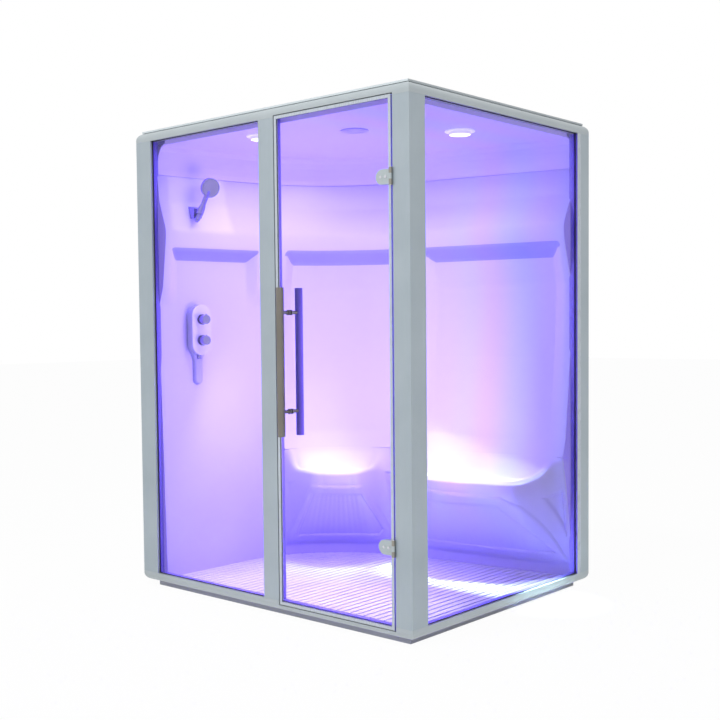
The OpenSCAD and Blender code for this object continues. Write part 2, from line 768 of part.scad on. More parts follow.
module ceiling() {
    flat_runs = concat([0], steps(arc_start, arc_end, 12), [run_end]);
    board_in = cove_w + ceiling_t;
    start = [wall_front.x + board_in, ceiling_edge_y];
    plan = concat([start],
        [for (s = flat_runs) if (s > 0 && s < run_end) on_plan(s) + board_in * inward(s)],
        [[ceiling_edge_x, wall_end.y - board_in], [ceiling_edge_x, ceiling_edge_y]]);
    color(acrylic) in_cabin() {
        intersection() {
            union() {
                cove_along(on_plan(arc_start), wall_lean, arc_start + cove_w);
                cove_along(on_plan(run_end) + cove_w * back_dir, wall_lean + turn,
                    run_end - arc_end + cove_w);
                translate([arc_mid.x, arc_mid.y, 0])
                    rotate([0, 0, 90 + wall_lean])
                        rotate_extrude(angle = turn, $fn = 180)
                            translate([corner_r, 0])
                                mirror([1, 0])
                                    cove_section();
            }
            box([0, ceiling_edge_y, 0], [ceiling_edge_x, cabin_d, cabin_h]);
        }
        difference() {
            translate([0, 0, ceiling_z])
                linear_extrude(ceiling_t)
                    polygon(plan);
            for (p = lamp_places)
                translate([p.x, p.y, ceiling_z - over])
                    cylinder(r = lamp_drum_r + seat_gap, h = ceiling_lip);
            translate([vent_place.x, vent_place.y, ceiling_z - over])
                cylinder(r = vent_r * 0.8 + seat_gap, h = ceiling_lip);
        }
        box([start.x, ceiling_edge_y, ceiling_z],
            [ceiling_edge_x, ceiling_edge_y + ceiling_t, ceiling_z + ceiling_lip]);
        box([ceiling_edge_x - ceiling_t, ceiling_edge_y, ceiling_z],
            [ceiling_edge_x, wall_end.y - board_in, ceiling_z + ceiling_lip]);
    }
}

// Lamps and the vent in the ceiling, by their shares of the cabin's width and depth
lamp_places = [[cabin_w * 0.82, cabin_d * 0.544], [cabin_w * 0.3925, cabin_d * 0.15]];
vent_place = [cabin_w * 0.627, cabin_d * 0.294];
vent_r = 60;
ring_t = 4;
module lamp_housings() {
    can_h = ceiling_t + lamp_drum_h;
    color("gainsboro") in_cabin() for (p = lamp_places) translate([p.x, p.y, ceiling_z])
        difference() {
            union() {
                translate([0, 0, -ring_t - seat_gap])
                    cylinder(r = lamp_ring_r, h = ring_t);
                translate([0, 0, -seat_gap - ring_t / 2])
                    cylinder(r = lamp_drum_r, h = can_h + ring_t / 2);
            }
            translate([0, 0, -ring_t - over])
                cylinder(r = lamp_drum_r - ring_t / 2, h = can_h + over);
        }
}
module lamp_lenses() {
    color([0.93, 0.9, 1]) in_cabin() for (p = lamp_places)
        translate([p.x, p.y, ceiling_z - ring_t - lamp_drum_h * 0.6])
            cylinder(r = lamp_drum_r - ring_t / 2 - seat_gap, h = lamp_drum_h + ring_t);
}
module ceiling_vent() {
    color("whitesmoke") in_cabin() translate([vent_place.x, vent_place.y, ceiling_z]) {
        difference() {
            translate([0, 0, -ring_t - seat_gap])
                cylinder(r = vent_r, h = ring_t);
            for (k = [0 : 2])
                translate([0, 0, -2 * ring_t])
                    difference() {
                        cylinder(r = vent_r * (0.75 - 0.2 * k), h = ring_t * 1.4);
                        translate([0, 0, -over])
                            cylinder(r = vent_r * (0.75 - 0.2 * k) - ring_t / 2, h = 3 * ring_t);
                    }
        }
        translate([0, 0, -seat_gap - ring_t / 2])
            cylinder(r = vent_r * 0.8, h = ceiling_t + ring_t);
    }
}
module lamp_driver() {
    z = ceiling_z + ceiling_t + seat_gap;
    w = vent_r * 2;
    color("darkslategray") in_cabin()
        translate([cabin_w * 0.55, cabin_d * 0.55, z])
            cube([w, w / 2, w / 4]);
}

// Valve on the shower wall
valve_r = housing_w / 2;
housing_wall = 3;
spindle_r = 6;
module pill(r, h, length) {
    rotate([90, 0, 90])
        linear_extrude(length) {
            square([2 * r, h - 2 * r], center = true);
            for (k = [-1, 1])
                translate([0, k * (h / 2 - r)])
                    circle(r);
        }
}
module on_knob(k) {
    in_cabin() at_wall(valve_run, 0, valve_z + k * knob_pitch / 2)
        children();
}
module valve_housing() {
    color("white") in_cabin() at_wall(valve_run, 0, valve_z) difference() {
        translate([seat_gap, 0, 0])
            pill(valve_r, housing_h, housing_t - seat_gap);
        translate([-over, 0, 0])
            pill(valve_r - housing_wall, housing_h - 2 * housing_wall, housing_t - housing_wall + over);
        for (k = [-1, 1])
            translate([0, 0, k * knob_pitch / 2])
                bar_x(spindle_r + seat_gap, 0, housing_t + over);
        translate([housing_t / 2, 0, -housing_h])
            cylinder(r = tail_r + seat_gap, h = housing_h);
    }
}
module valve_body() {
    body_r = housing_t * 0.28;
    color([0.78, 0.65, 0.38]) in_cabin() at_wall(valve_run, 0, valve_z) {
        translate([housing_t / 2, 0, -knob_pitch * 0.75])
            cylinder(r = body_r, h = knob_pitch * 1.5);
        for (k = [-1, 1])
            translate([0, 0, k * knob_pitch / 2]) {
                bar_x(spindle_r, housing_t / 2, housing_t + knob_l * 0.7);
                bar_x(tail_r, -shell_t * 2, housing_t / 2);
            }
    }
}
module valve_rings() {
    color("silver") for (k = [-1, 1]) on_knob(k) difference() {
        bar_x(knob_r + ring_t, housing_t + seat_gap, housing_t + ring_t * 1.5);
        bar_x(spindle_r + seat_gap, 0, housing_t + 2 * ring_t);
    }
}
module knob(k) {
    x0 = housing_t + ring_t * 1.5 + seat_gap;
    color("gainsboro") on_knob(k) difference() {
        union() {
            bar_x(knob_r, x0 + ring_t, x0 + knob_l);
            bar_x(knob_r * 0.8, x0, x0 + knob_l - ring_t);
            translate([x0 + knob_l - 2 * ring_t, 0, 0])
                box([0, -ring_t / 2, 0], [2 * ring_t, ring_t / 2, knob_r + ring_t]);
        }
        bar_x(spindle_r + fit, 0, housing_t + knob_l * 0.7 + seat_gap);
    }
}
module hose_outlet() {
    color("silver") in_cabin() at_wall(valve_run, housing_t / 2, valve_z)
        translate([0, 0, -housing_h / 2 - 2 * tail_r])
            difference() {
                cylinder(r = tail_r, h = housing_h / 2 + 2 * tail_r - knob_pitch * 0.75 - seat_gap);
                translate([0, 0, -over])
                    cylinder(r = tail_r / 2, h = 2 * tail_r + over);
            }
}

// Hand shower: a base on the wall, a swivelling holder and the handset that lifts out of it
base_h = 60;
base_stand = 20;
base_reach = shower_crest_out + base_stand;
holder_wall = 5;
holder_r = grip_r + holder_wall;
arm_l = 24;
holder_x = base_reach + arm_l;
pivot_bite = 2;
pivot_end = holder_x - holder_r + pivot_bite;
holder_z = bracket_z + base_h / 2;
holder_tilt = -24;
spray_tilt = 16;
pivot_r = 8;
module at_bracket() {
    in_cabin() at_wall(bracket_run, 0, holder_z)
        children();
}
module shower_base() {
    low = shower_out(bracket_z) + seat_gap;
    high = shower_out(bracket_z + base_h) + seat_gap;
    color("gainsboro") at_bracket() {
        rotate([90, 0, 0])
            linear_extrude(base_h * 0.7, center = true)
                polygon([[low, -base_h / 2], [high, base_h / 2], [base_reach, base_h / 4],
                    [base_reach, -base_h / 2]]);
        bar_x(pivot_r, base_reach - over, pivot_end);
    }
}
module shower_holder() {
    color("silver") at_bracket() rotate([holder_tilt, 0, 0]) difference() {
        union() {
            translate([holder_x, 0, -holder_r])
                cylinder(r = holder_r, h = 2 * holder_r);
            bar_x(pivot_r + holder_wall, base_reach + seat_gap, holder_x);
        }
        translate([holder_x, 0, -2 * holder_r])
            cylinder(r = grip_r + fit, h = 4 * holder_r);
        bar_x(pivot_r + fit, 0, pivot_end + seat_gap);
    }
}
module handset() {
    tail = grip_l * 0.3;
    head_z = grip_l - tail + spray_r * 0.4;
    color("gainsboro") at_bracket() rotate([holder_tilt, 0, 0]) translate([holder_x, 0, 0]) {
        translate([0, 0, -tail])
            cylinder(r = grip_r, h = grip_l);
        translate([0, 0, holder_r + seat_gap])
            cylinder(r = grip_r * 1.25, h = grip_r);
        translate([0, 0, -tail - tail_r])
            cylinder(r = tail_r * 0.8, h = 2 * tail_r);
        translate([0, 0, head_z])
            rotate([0, spray_tilt, 0]) {
                bar_x(spray_r, 0, grip_r * 1.2);
                bar_x(spray_r * 0.8, -grip_r, grip_r);
                bar_x(spray_r * 0.86, grip_r, grip_r * 1.4);
            }
    }
}

// Floor: tray, waste, bearers and slats that end at the foot of the mouldings
floor_gap = 3;
rim_t = 4;
slat_low = foot_z + bearer_h;
function floor_point(s) = wall_point(s, foot_out(s) + floor_gap, 0);
floor_plan = concat(
    [[floor_point(0).x, floor_point(0).y + rim_t + floor_gap]],
    [for (k = [1 : 29]) [floor_point(run_end * k / 30).x, floor_point(run_end * k / 30).y]],
    [[floor_point(run_end).x - rim_t - floor_gap, floor_point(run_end).y]],
    [[inner_x - rim_t - floor_gap, rail_t + rim_t + floor_gap]]);
drain_at = [cabin_w * 0.35, cabin_d * 0.4];
module tray() {
    y0 = rail_t + seat_gap;
    x1 = inner_x - seat_gap;
    rim_x = wall_x + foot_front_out + rim_t;
    rim_z = low_top - groove_d;
    color("whitesmoke") in_cabin() difference() {
        union() {
            box([y0, y0, plinth_h], [x1, inner_y - seat_gap, plinth_h + tray_t]);
            box([rim_x, y0, plinth_h], [x1, y0 + rim_t, rim_z]);
            box([x1 - rim_t, y0, plinth_h], [x1, wall_end.y - foot_mid_back, rim_z]);
        }
        translate([drain_at.x, drain_at.y, 0])
            cylinder(r = waste_r + seat_gap, h = 2 * plinth_h);
    }
}
module drain() {
    flange_t = 3;
    color("silver") in_cabin() translate([drain_at.x, drain_at.y, 0]) difference() {
        union() {
            translate([0, 0, foot_z])
                cylinder(r = waste_r * 1.6, h = flange_t);
            translate([0, 0, flange_t])
                cylinder(r = waste_r, h = foot_z);
            translate([0, 0, plinth_h / 2])
                bar_x(tray_t * 2, 0, waste_r * 4);
        }
        translate([0, 0, flange_t * 2])
            cylinder(r = waste_r - flange_t, h = 2 * foot_z);
        translate([0, 0, plinth_h / 2])
            bar_x(tray_t * 1.5, 0, waste_r * 5);
        translate([0, 0, foot_z + flange_t / 2])
            cylinder(r = waste_r * 1.2, h = foot_z);
    }
}
module drain_grate() {
    t = 1.5;
    color("gray") in_cabin() translate([drain_at.x, drain_at.y, foot_z + t])
        difference() {
            cylinder(r = waste_r * 1.2 - seat_gap, h = t);
            for (a = [0 : 45 : 315])
                rotate([0, 0, a])
                    translate([waste_r * 0.7, 0, -over])
                        cylinder(r = waste_r * 0.16, h = t + 2 * over, $fn = 16);
        }
}
bearer_shares = [0.09, 0.33, 0.57, 0.81];
module slat_bearers() {
    color("lightgray") in_cabin() intersection() {
        for (share = bearer_shares)
            box([0, cabin_d * share, foot_z], [cabin_w, cabin_d * share + bearer_w, slat_low]);
        linear_extrude(cabin_h)
            polygon(floor_plan);
    }
}
module floor_slats() {
    first = wall_x - foot_mid_back;
    count = floor((inner_x - rim_t - floor_gap - first - slat_w) / slat_pitch);
    color("ghostwhite") in_cabin() intersection() {
        for (k = [0 : count])
            let(x = inner_x - rim_t - floor_gap - slat_w - k * slat_pitch)
            box([x, 0, slat_low], [x + slat_w, cabin_d, slat_low + slat_t]);
        linear_extrude(cabin_h)
            polygon(floor_plan);
    }
}

// Steam: the generator stands on a shelf behind the bench and a pipe leads to the outlet
shelf_t = 4;
boiler_x = cabin_w * 0.625;
boiler_y = cabin_d - glass_set - panel_t - 2 * shelf_t;
boiler_z = bench_joint_z - 2 * fascia_h - boiler_h - 8 * shelf_t;
shelf_z = boiler_z - seat_gap - shelf_t;
leg_w = 25;
module steam_generator() {
    color("lightsteelblue") in_cabin() {
        translate([boiler_x, boiler_y - boiler_d, boiler_z])
            cube([boiler_w, boiler_d, boiler_h]);
        for (x = [0.25, 0.75])
            translate([boiler_x + boiler_w * x, boiler_y - boiler_d / 2, boiler_z + boiler_h - over])
                cylinder(r = pipe_r * 1.6, h = pipe_r + over);
    }
}
module generator_shelf() {
    y1 = inner_y - 2 * seat_gap;
    color("darkgray") in_cabin() {
        translate([boiler_x, boiler_y - boiler_d, shelf_z])
            cube([boiler_w, boiler_d, shelf_t]);
        for (x = [0, boiler_w - shelf_t])
            box([boiler_x + x, y1 - leg_w, foot_z], [boiler_x + x + shelf_t, y1, shelf_z + shelf_t]);
    }
}
module rod(a, b, r) {
    d = b - a;
    translate(a)
        rotate([0, acos(d.z / norm(d)), atan2(d.y, d.x)])
            cylinder(r = r, h = norm(d));
}
module steam_pipe() {
    near = wall_point(valley_run, outlet_out, outlet_z);
    behind_l = 6 * pipe_r;
    back = wall_point(valley_run, outlet_out - behind_l, outlet_z + behind_l * tan(outlet_tilt));
    turn_at = [boiler_x - 4 * pipe_r, boiler_y - boiler_d / 2, back.z];
    up = [turn_at.x, turn_at.y, boiler_z + boiler_h / 2];
    end = [boiler_x - seat_gap, up.y, up.z];
    color("silver") in_cabin() {
        at_outlet()
            bar_x(pipe_r, -behind_l / cos(outlet_tilt), seat_gap);
        rod(back, turn_at, pipe_r);
        rod(turn_at, up, pipe_r);
        rod(up, end, pipe_r);
        for (p = [back, turn_at, up])
            translate(p)
                sphere(pipe_r * 1.15);
    }
}
slit_h = 3;
module steam_outlet() {
    // The neck stands clear of the curved skirt
    stand = shell_t * 0.475;
    cap_x = stand + shell_t;
    cap_t = 7;
    color("dimgray") in_cabin() at_outlet() difference() {
        union() {
            bar_x(pipe_r * 1.6, stand, cap_x);
            bar_x(outlet_r, cap_x, cap_x + cap_t);
        }
        bar_x(pipe_r + seat_gap, -over, cap_x);
        for (k = [-1, 0, 1])
            translate([0, 0, k * outlet_r * 0.4])
                box([cap_x - over, -outlet_r * 0.5, -slit_h / 2],
                    [cap_x + 2 * cap_t, outlet_r * 0.5, slit_h / 2]);
    }
}
module water_inlets() {
    flange = 3;
    y0 = cabin_d - glass_set - panel_t;
    color("goldenrod") in_cabin() for (x = inlet_x) translate([x, 0, inlet_z]) difference() {
        union() {
            bar_y(inlet_r, y0 - inlet_r, cabin_d);
            bar_y(inlet_r * 1.6, y0 - seat_gap - flange, y0 - seat_gap);
        }
        bar_y(inlet_r * 0.7, y0 - 2 * inlet_r, cabin_d + over);
    }
}

// Door leaf: glass in a slim edge trim
leaf_low = [mid_right + door_gap, door_set, rebate_low + door_gap];
leaf_high = [near_x - hinge_gap, door_set + trim_t, rebate_high - door_gap];
hinge_high = leaf_high.z - hinge_drop;
glass_y = glass_mid - glass_t / 2;
trim_lap = trim_w - glass_in;
axis_x = near_x - hinge_gap / 2;
axis_y = -knuckle_r - seat_gap;
plate_edge = axis_x - knuckle_r - seat_gap;
handle_x = leaf_low.x + handle_in;
bolt_r = 4;
screw_r = 3;
screw_x = [for (k = [0.28, 0.62]) plate_edge - plate_l * k];
module at_bolts(r, clearance) {
    for (k = [-1, 1])
        translate([handle_x, 0, handle_z + k * standoff_pitch / 2])
            bar_y(r + clearance, -handle_off, rail_t);
}
module at_screws(r, y0, y1) {
    for (z = [hinge_low, hinge_high], x = screw_x)
        translate([x, 0, z])
            bar_y(r, y0, y1);
}
module door_glass() {
    color(clear) in_cabin() difference() {
        box([leaf_low.x + trim_lap, glass_y, leaf_low.z + trim_lap],
            [leaf_high.x - trim_lap, glass_y + glass_t, leaf_high.z - trim_lap]);
        at_bolts(bolt_r, seat_gap);
        at_screws(screw_r + seat_gap, -over, rail_t);
    }
}
module door_trim() {
    lap = trim_lap - seat_gap;
    color([0.80, 0.83, 0.86]) in_cabin() difference() {
        box(leaf_low, leaf_high);
        box([leaf_low.x + trim_w, -over, leaf_low.z + trim_w],
            [leaf_high.x - trim_w, rail_t, leaf_high.z - trim_w]);
        box([leaf_low.x + lap, glass_y - seat_gap, leaf_low.z + lap],
            [leaf_high.x - lap, glass_y + glass_t + seat_gap, leaf_high.z - lap]);
    }
}
module door_stops() {
    y0 = leaf_high.y + 1;
    x0 = mid_right + seat_gap;
    x1 = near_x - hinge_gap;
    y1 = rebate_t - seat_gap;
    lap = door_gap + trim_w * 0.4;
    color("dimgray") in_cabin() difference() {
        box([x0, y0, rebate_low + seat_gap], [x1, y1, rebate_high - seat_gap]);
        box([x0 + lap, 0, rebate_low + seat_gap + lap], [cabin_w, rail_t, rebate_high - seat_gap - lap]);
    }
}

// Hinges: a bracket on the near post, a pin, and a rounded plate on the glass
module at_hinges() {
    in_cabin() for (z = [hinge_low, hinge_high])
        translate([axis_x, axis_y, z - knuckle_h / 2])
            children();
}
bracket_t = 3;
cap_h = 2;
module hinge_brackets() {
    web_x = near_x - axis_x - seat_gap;
    color([0.55, 0.48, 0.38]) at_hinges() difference() {
        union() {
            for (k = [0, 2])
                translate([0, 0, k * knuckle_h / 3]) {
                    cylinder(r = knuckle_r, h = knuckle_h / 3 - seat_gap);
                    box([0, 0, 0], [web_x, knuckle_r + bracket_t, knuckle_h / 3 - seat_gap]);
                }
            box([web_x - bracket_t, knuckle_r + 2 * seat_gap, 0],
                [web_x, rail_t * 0.7, knuckle_h - seat_gap]);
        }
        translate([0, 0, -over])
            cylinder(r = pin_r + fit, h = knuckle_h + 2 * over);
    }
}
module hinge_pins() {
    color("silver") at_hinges() {
        cylinder(r = pin_r, h = knuckle_h);
        for (z = [-cap_h - seat_gap, knuckle_h])
            translate([0, 0, z])
                cylinder(r = knuckle_r * 0.85, h = cap_h);
        translate([0, 0, -cap_h])
            cylinder(r = pin_r, h = cap_h);
    }
}
module hinge_plates() {
    color("gainsboro") {
        at_hinges() difference() {
            union() {
                translate([0, 0, knuckle_h / 3])
                    cylinder(r = knuckle_r, h = knuckle_h / 3 - seat_gap);
                box([-knuckle_r - plate_t, door_set - seat_gap - plate_t - axis_y, knuckle_h / 3],
                    [0, door_set - seat_gap - axis_y, knuckle_h * 2 / 3 - seat_gap]);
            }
            translate([0, 0, -over])
                cylinder(r = pin_r + fit, h = knuckle_h + 2 * over);
        }
        in_cabin() difference() {
            translate([0, door_set - seat_gap, 0])
                plate_pair();
            at_screws(screw_r + seat_gap, -handle_off, rail_t);
        }
    }
}
// The two rounded plates, with their inner face at zero
module plate_pair() {
    for (z = [hinge_low, hinge_high])
        translate([plate_edge, 0, z])
            rotate([90, 0, 0])
                linear_extrude(plate_t) {
                    translate([-plate_l + plate_h / 2, -plate_h / 2])
                        square([plate_l - plate_h / 2, plate_h]);
                    translate([-plate_l + plate_h / 2, 0])
                        circle(plate_h / 2);
                }
}
module hinge_backs() {
    color("gainsboro") in_cabin() difference() {
        translate([0, leaf_high.y + seat_gap + plate_t, 0])
            plate_pair();
        at_screws(screw_r + seat_gap, 0, rail_t);
    }
}
module hinge_screws() {
    y0 = door_set - plate_t - seat_gap;
    y1 = leaf_high.y + plate_t + seat_gap;
    color("gray") in_cabin() {
        at_screws(screw_r, y0 - screw_r / 2, y1 + screw_r / 2);
        at_screws(screw_r * 1.8, y0 - screw_r / 2 - seat_gap, y0 - seat_gap);
        at_screws(screw_r * 1.8, y1 + seat_gap, y1 + screw_r / 2 + seat_gap);
    }
}

// Pull handle: two tubes, two studs through the glass and an end cap in every tube end
module tube(side) {
    in_cabin() difference() {
        translate([handle_x, glass_mid + side * handle_off, handle_z - handle_l / 2])
            difference() {
                cylinder(r = handle_r, h = handle_l);
                translate([0, 0, -over])
                    cylinder(r = handle_r - handle_wall, h = handle_l + 2 * over);
            }
        for (k = [-1, 1])
            translate([handle_x, glass_mid, handle_z + k * standoff_pitch / 2])
                bar_y(standoff_r + seat_gap, side < 0 ? -handle_off : 0, side < 0 ? 0 : handle_off);
    }
}
module handle_outer() {
    color([0.5, 0.47, 0.42]) tube(-1);
}
module handle_inner() {
    color([0.5, 0.47, 0.42]) tube(1);
}
module handle_caps() {
    color([0.45, 0.42, 0.38]) in_cabin()
        for (side = [-1, 1], z = [handle_z - handle_l / 2, handle_z + handle_l / 2 - 2 * handle_wall])
            translate([handle_x, glass_mid + side * handle_off, z])
                cylinder(r = handle_r - handle_wall - seat_gap, h = 2 * handle_wall);
}
module handle_studs() {
    reach = handle_off - handle_r + 2 * handle_wall;
    half = glass_t / 2 + seat_gap;
    color([0.62, 0.6, 0.56]) in_cabin() for (k = [-1, 1])
        translate([handle_x, glass_mid, handle_z + k * standoff_pitch / 2]) {
            bar_y(standoff_r, -reach, -half);
            bar_y(standoff_r, half, reach);
            bar_y(bolt_r, -reach, reach);
            bar_y(boss_r, -half - boss_r * 0.7, -half);
            bar_y(boss_r, half, half + boss_r * 0.7);
        }
}

plinth();
tray();
low_rail(0);  // rail_low_front
low_rail(1);  // rail_low_right
low_rail(2);  // rail_low_back
low_rail(3);  // rail_low_left
top_rail(0);  // rail_top_front
top_rail(1);  // rail_top_right
top_rail(2);  // rail_top_back
top_rail(3);  // rail_top_left
corner_post(0, left_post_w, post_leg);  // post_left
post_middle();
corner_post(1, near_post_w, near_post_side);  // post_near
corner_post(2, near_post_w, far_post_side);  // post_far
corner_post(3, post_leg, post_leg);  // post_back_left
side_channel();
roof_panel();
front_glass();
side_glass();
gaskets();
panel_left();
panel_back();
floor_slats();
slat_bearers();
drain();
drain_grate();
shower_wall();
backrest();
bench();
ceiling();
lamp_housings();
lamp_lenses();
ceiling_vent();
lamp_driver();
valve_housing();
valve_body();
valve_rings();
knob(1);  // knob_high
knob(-1);  // knob_low
hose_outlet();
shower_base();
shower_holder();
handset();
steam_outlet();
steam_pipe();
steam_generator();
generator_shelf();
water_inlets();
door_glass();
door_trim();
door_stops();
hinge_brackets();
hinge_pins();
hinge_plates();
hinge_backs();
hinge_screws();
handle_outer();
handle_inner();
handle_caps();
handle_studs();
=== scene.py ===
import math
import bpy
import numpy as np
from mathutils import Matrix, Vector


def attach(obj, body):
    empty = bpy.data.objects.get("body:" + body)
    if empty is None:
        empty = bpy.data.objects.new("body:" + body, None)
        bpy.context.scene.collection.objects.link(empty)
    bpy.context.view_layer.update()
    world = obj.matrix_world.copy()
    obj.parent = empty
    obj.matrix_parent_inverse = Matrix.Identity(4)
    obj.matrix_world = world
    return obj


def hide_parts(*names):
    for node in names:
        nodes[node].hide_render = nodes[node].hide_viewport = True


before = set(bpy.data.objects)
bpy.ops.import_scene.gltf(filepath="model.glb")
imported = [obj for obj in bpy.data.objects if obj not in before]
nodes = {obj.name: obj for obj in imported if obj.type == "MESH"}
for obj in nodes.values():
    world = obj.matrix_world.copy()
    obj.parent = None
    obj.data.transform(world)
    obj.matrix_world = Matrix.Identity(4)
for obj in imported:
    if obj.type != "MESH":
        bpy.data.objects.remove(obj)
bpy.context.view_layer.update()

# Frame: hollow aluminium extrusions, satin anodised, mitred at the corners of the rails.
# Each profile shows faint draw lines along its length and a slightly duller skin in places.
# Faces that look into the cabin carry the violet of its lamps.


def new_material(name):
    """A node material with its Principled shader, ready for more nodes."""
    mat = bpy.data.materials.new(name)
    mat.use_nodes = True
    return mat, mat.node_tree, mat.node_tree.nodes["Principled BSDF"]


def link(tree, a, b):
    tree.links.new(a, b)


def feed(tree, socket, value):
    """Fills an input with a link from another socket, or with a plain value."""
    if isinstance(value, bpy.types.NodeSocket):
        link(tree, value, socket)
    else:
        socket.default_value = value


def math_node(tree, kind, first, *others):
    """Math nodes in a chain; every value is a socket or a plain number."""
    result = first
    for value in others:
        n = tree.nodes.new("ShaderNodeMath")
        n.operation = kind
        feed(tree, n.inputs[0], result)
        feed(tree, n.inputs[1], value)
        result = n.outputs[0]
    return result


def grain_group():
    """Mottle and fine lines of a surface, as two values worked out from the Object position."""
    g = bpy.data.node_groups.new("surface_grain", "ShaderNodeTree")
    face = g.interface
    face.new_socket("Stretch", in_out="INPUT", socket_type="NodeSocketVector")
    face.new_socket("Scale", in_out="INPUT", socket_type="NodeSocketFloat")
    face.new_socket("Mottle Scale", in_out="INPUT", socket_type="NodeSocketFloat")
    face.new_socket("Mottle", in_out="OUTPUT", socket_type="NodeSocketFloat")
    face.new_socket("Lines", in_out="OUTPUT", socket_type="NodeSocketFloat")
    gin = g.nodes.new("NodeGroupInput")
    gout = g.nodes.new("NodeGroupOutput")
    where = g.nodes.new("ShaderNodeTexCoord")
    stretch = g.nodes.new("ShaderNodeVectorMath")
    stretch.operation = "MULTIPLY"
    link(g, where.outputs["Object"], stretch.inputs[0])
    link(g, gin.outputs["Stretch"], stretch.inputs[1])
    lines = g.nodes.new("ShaderNodeTexNoise")
    lines.inputs["Detail"].default_value = 4
    link(g, stretch.outputs[0], lines.inputs["Vector"])
    link(g, gin.outputs["Scale"], lines.inputs["Scale"])
    mottle = g.nodes.new("ShaderNodeTexNoise")
    mottle.inputs["Detail"].default_value = 3
    link(g, where.outputs["Object"], mottle.inputs["Vector"])
    link(g, gin.outputs["Mottle Scale"], mottle.inputs["Scale"])
    link(g, mottle.outputs["Fac"], gout.inputs["Mottle"])
    link(g, lines.outputs["Fac"], gout.inputs["Lines"])
    return g


grain = grain_group()


def add_grain(tree, stretch, scale, mottle_scale):
    """Mottle and line values of a surface in a material."""
    n = tree.nodes.new("ShaderNodeGroup")
    n.node_tree = grain
    n.inputs["Stretch"].default_value = stretch
    n.inputs["Scale"].default_value = scale
    n.inputs["Mottle Scale"].default_value = mottle_scale
    return n.outputs["Mottle"], n.outputs["Lines"]


def blend(tree, factor, a, b, kind="MIX"):
    """Two colours mixed or multiplied; every value is a socket or a plain one."""
    n = tree.nodes.new("ShaderNodeMix")
    n.data_type = "RGBA"
    n.blend_type = kind
    feed(tree, n.inputs["Factor"], factor)
    feed(tree, n.inputs["A"], a)
    feed(tree, n.inputs["B"], b)
    return n.outputs["Result"]


def mix_colour(tree, mask, low, high):
    """Colour from low to high along a mask."""
    return blend(tree, mask, (*low, 1), (*high, 1))


def spread(tree, value, low, high):
    """The middle of a noise, 0.3 to 0.7, spread over low to high."""
    n = tree.nodes.new("ShaderNodeMapRange")
    n.inputs["From Min"].default_value = 0.3
    n.inputs["From Max"].default_value = 0.7
    n.inputs["To Min"].default_value = low
    n.inputs["To Max"].default_value = high
    link(tree, value, n.inputs["Value"])
    return n.outputs["Result"]


def add_bump(tree, shader, height, strength, distance):
    n = tree.nodes.new("ShaderNodeBump")
    n.inputs["Strength"].default_value = strength
    n.inputs["Distance"].default_value = distance
    link(tree, height, n.inputs["Height"])
    link(tree, n.outputs["Normal"], shader.inputs["Normal"])


def split_xyz(tree, label):
    """X, Y and Z sockets of a texture coordinate, such as Object or Normal."""
    where = tree.nodes.new("ShaderNodeTexCoord")
    parts = tree.nodes.new("ShaderNodeSeparateXYZ")
    link(tree, where.outputs[label], parts.inputs[0])
    return parts.outputs


def between(tree, value, low, high):
    """One where a value lies between two limits."""
    above = math_node(tree, "GREATER_THAN", value, low)
    below = math_node(tree, "LESS_THAN", value, high)
    return math_node(tree, "MULTIPLY", above, below)


def lit_inside(tree, colour, tint):
    """The same colour outside, and the violet of the lamps on faces behind the panes."""
    left, right, front, back, top = -0.750, 0.785, -0.600, 0.63, 2.046
    far_part, slope = 0.3, -0.5
    spot = split_xyz(tree, "Object")
    facing = split_xyz(tree, "Normal")
    before_back = math_node(tree, "LESS_THAN", spot["Y"], back)
    behind_front = math_node(tree, "GREATER_THAN", spot["Y"], front)
    room = math_node(tree, "MULTIPLY", between(tree, spot["X"], left, right), behind_front, before_back)
    to_front = math_node(tree, "LESS_THAN", facing["Y"], slope)
    to_left = math_node(tree, "LESS_THAN", facing["X"], slope)
    at_rear = math_node(tree, "GREATER_THAN", spot["Y"], far_part)
    at_right = math_node(tree, "GREATER_THAN", spot["X"], far_part)
    rear = math_node(tree, "MULTIPLY", to_front, at_rear)
    far = math_node(tree, "MULTIPLY", to_left, at_right, before_back)
    under_top = math_node(tree, "LESS_THAN", spot["Z"], top)
    mask = math_node(tree, "MULTIPLY", math_node(tree, "MAXIMUM", room, rear, far), under_top)
    return blend(tree, mask, colour, (*tint, 1))


def metal(name, low, high, rough, stretch, scale, metallic=1.0, bump=0.1, inside=None):
    """Metal with draw lines along its length and a faint mottle."""
    mat, tree, shader = new_material(name)
    mottle, lines = add_grain(tree, stretch, scale, 5.0)
    coarse = math_node(tree, "MULTIPLY", mottle, 0.6)
    both = math_node(tree, "ADD", coarse, math_node(tree, "MULTIPLY", lines, 0.4))
    colour = mix_colour(tree, spread(tree, both, 0, 1), low, high)
    if inside:
        colour = lit_inside(tree, colour, inside)
    link(tree, colour, shader.inputs["Base Color"])
    link(tree, spread(tree, lines, rough - 0.05, rough + 0.05), shader.inputs["Roughness"])
    shader.inputs["Metallic"].default_value = metallic
    add_bump(tree, shader, lines, bump, 0.0004)
    return mat


def dress(names, mat):
    """Gives CAD nodes their material."""
    for name in names:
        slots = nodes[name].data.materials
        slots.clear()
        slots.append(mat)


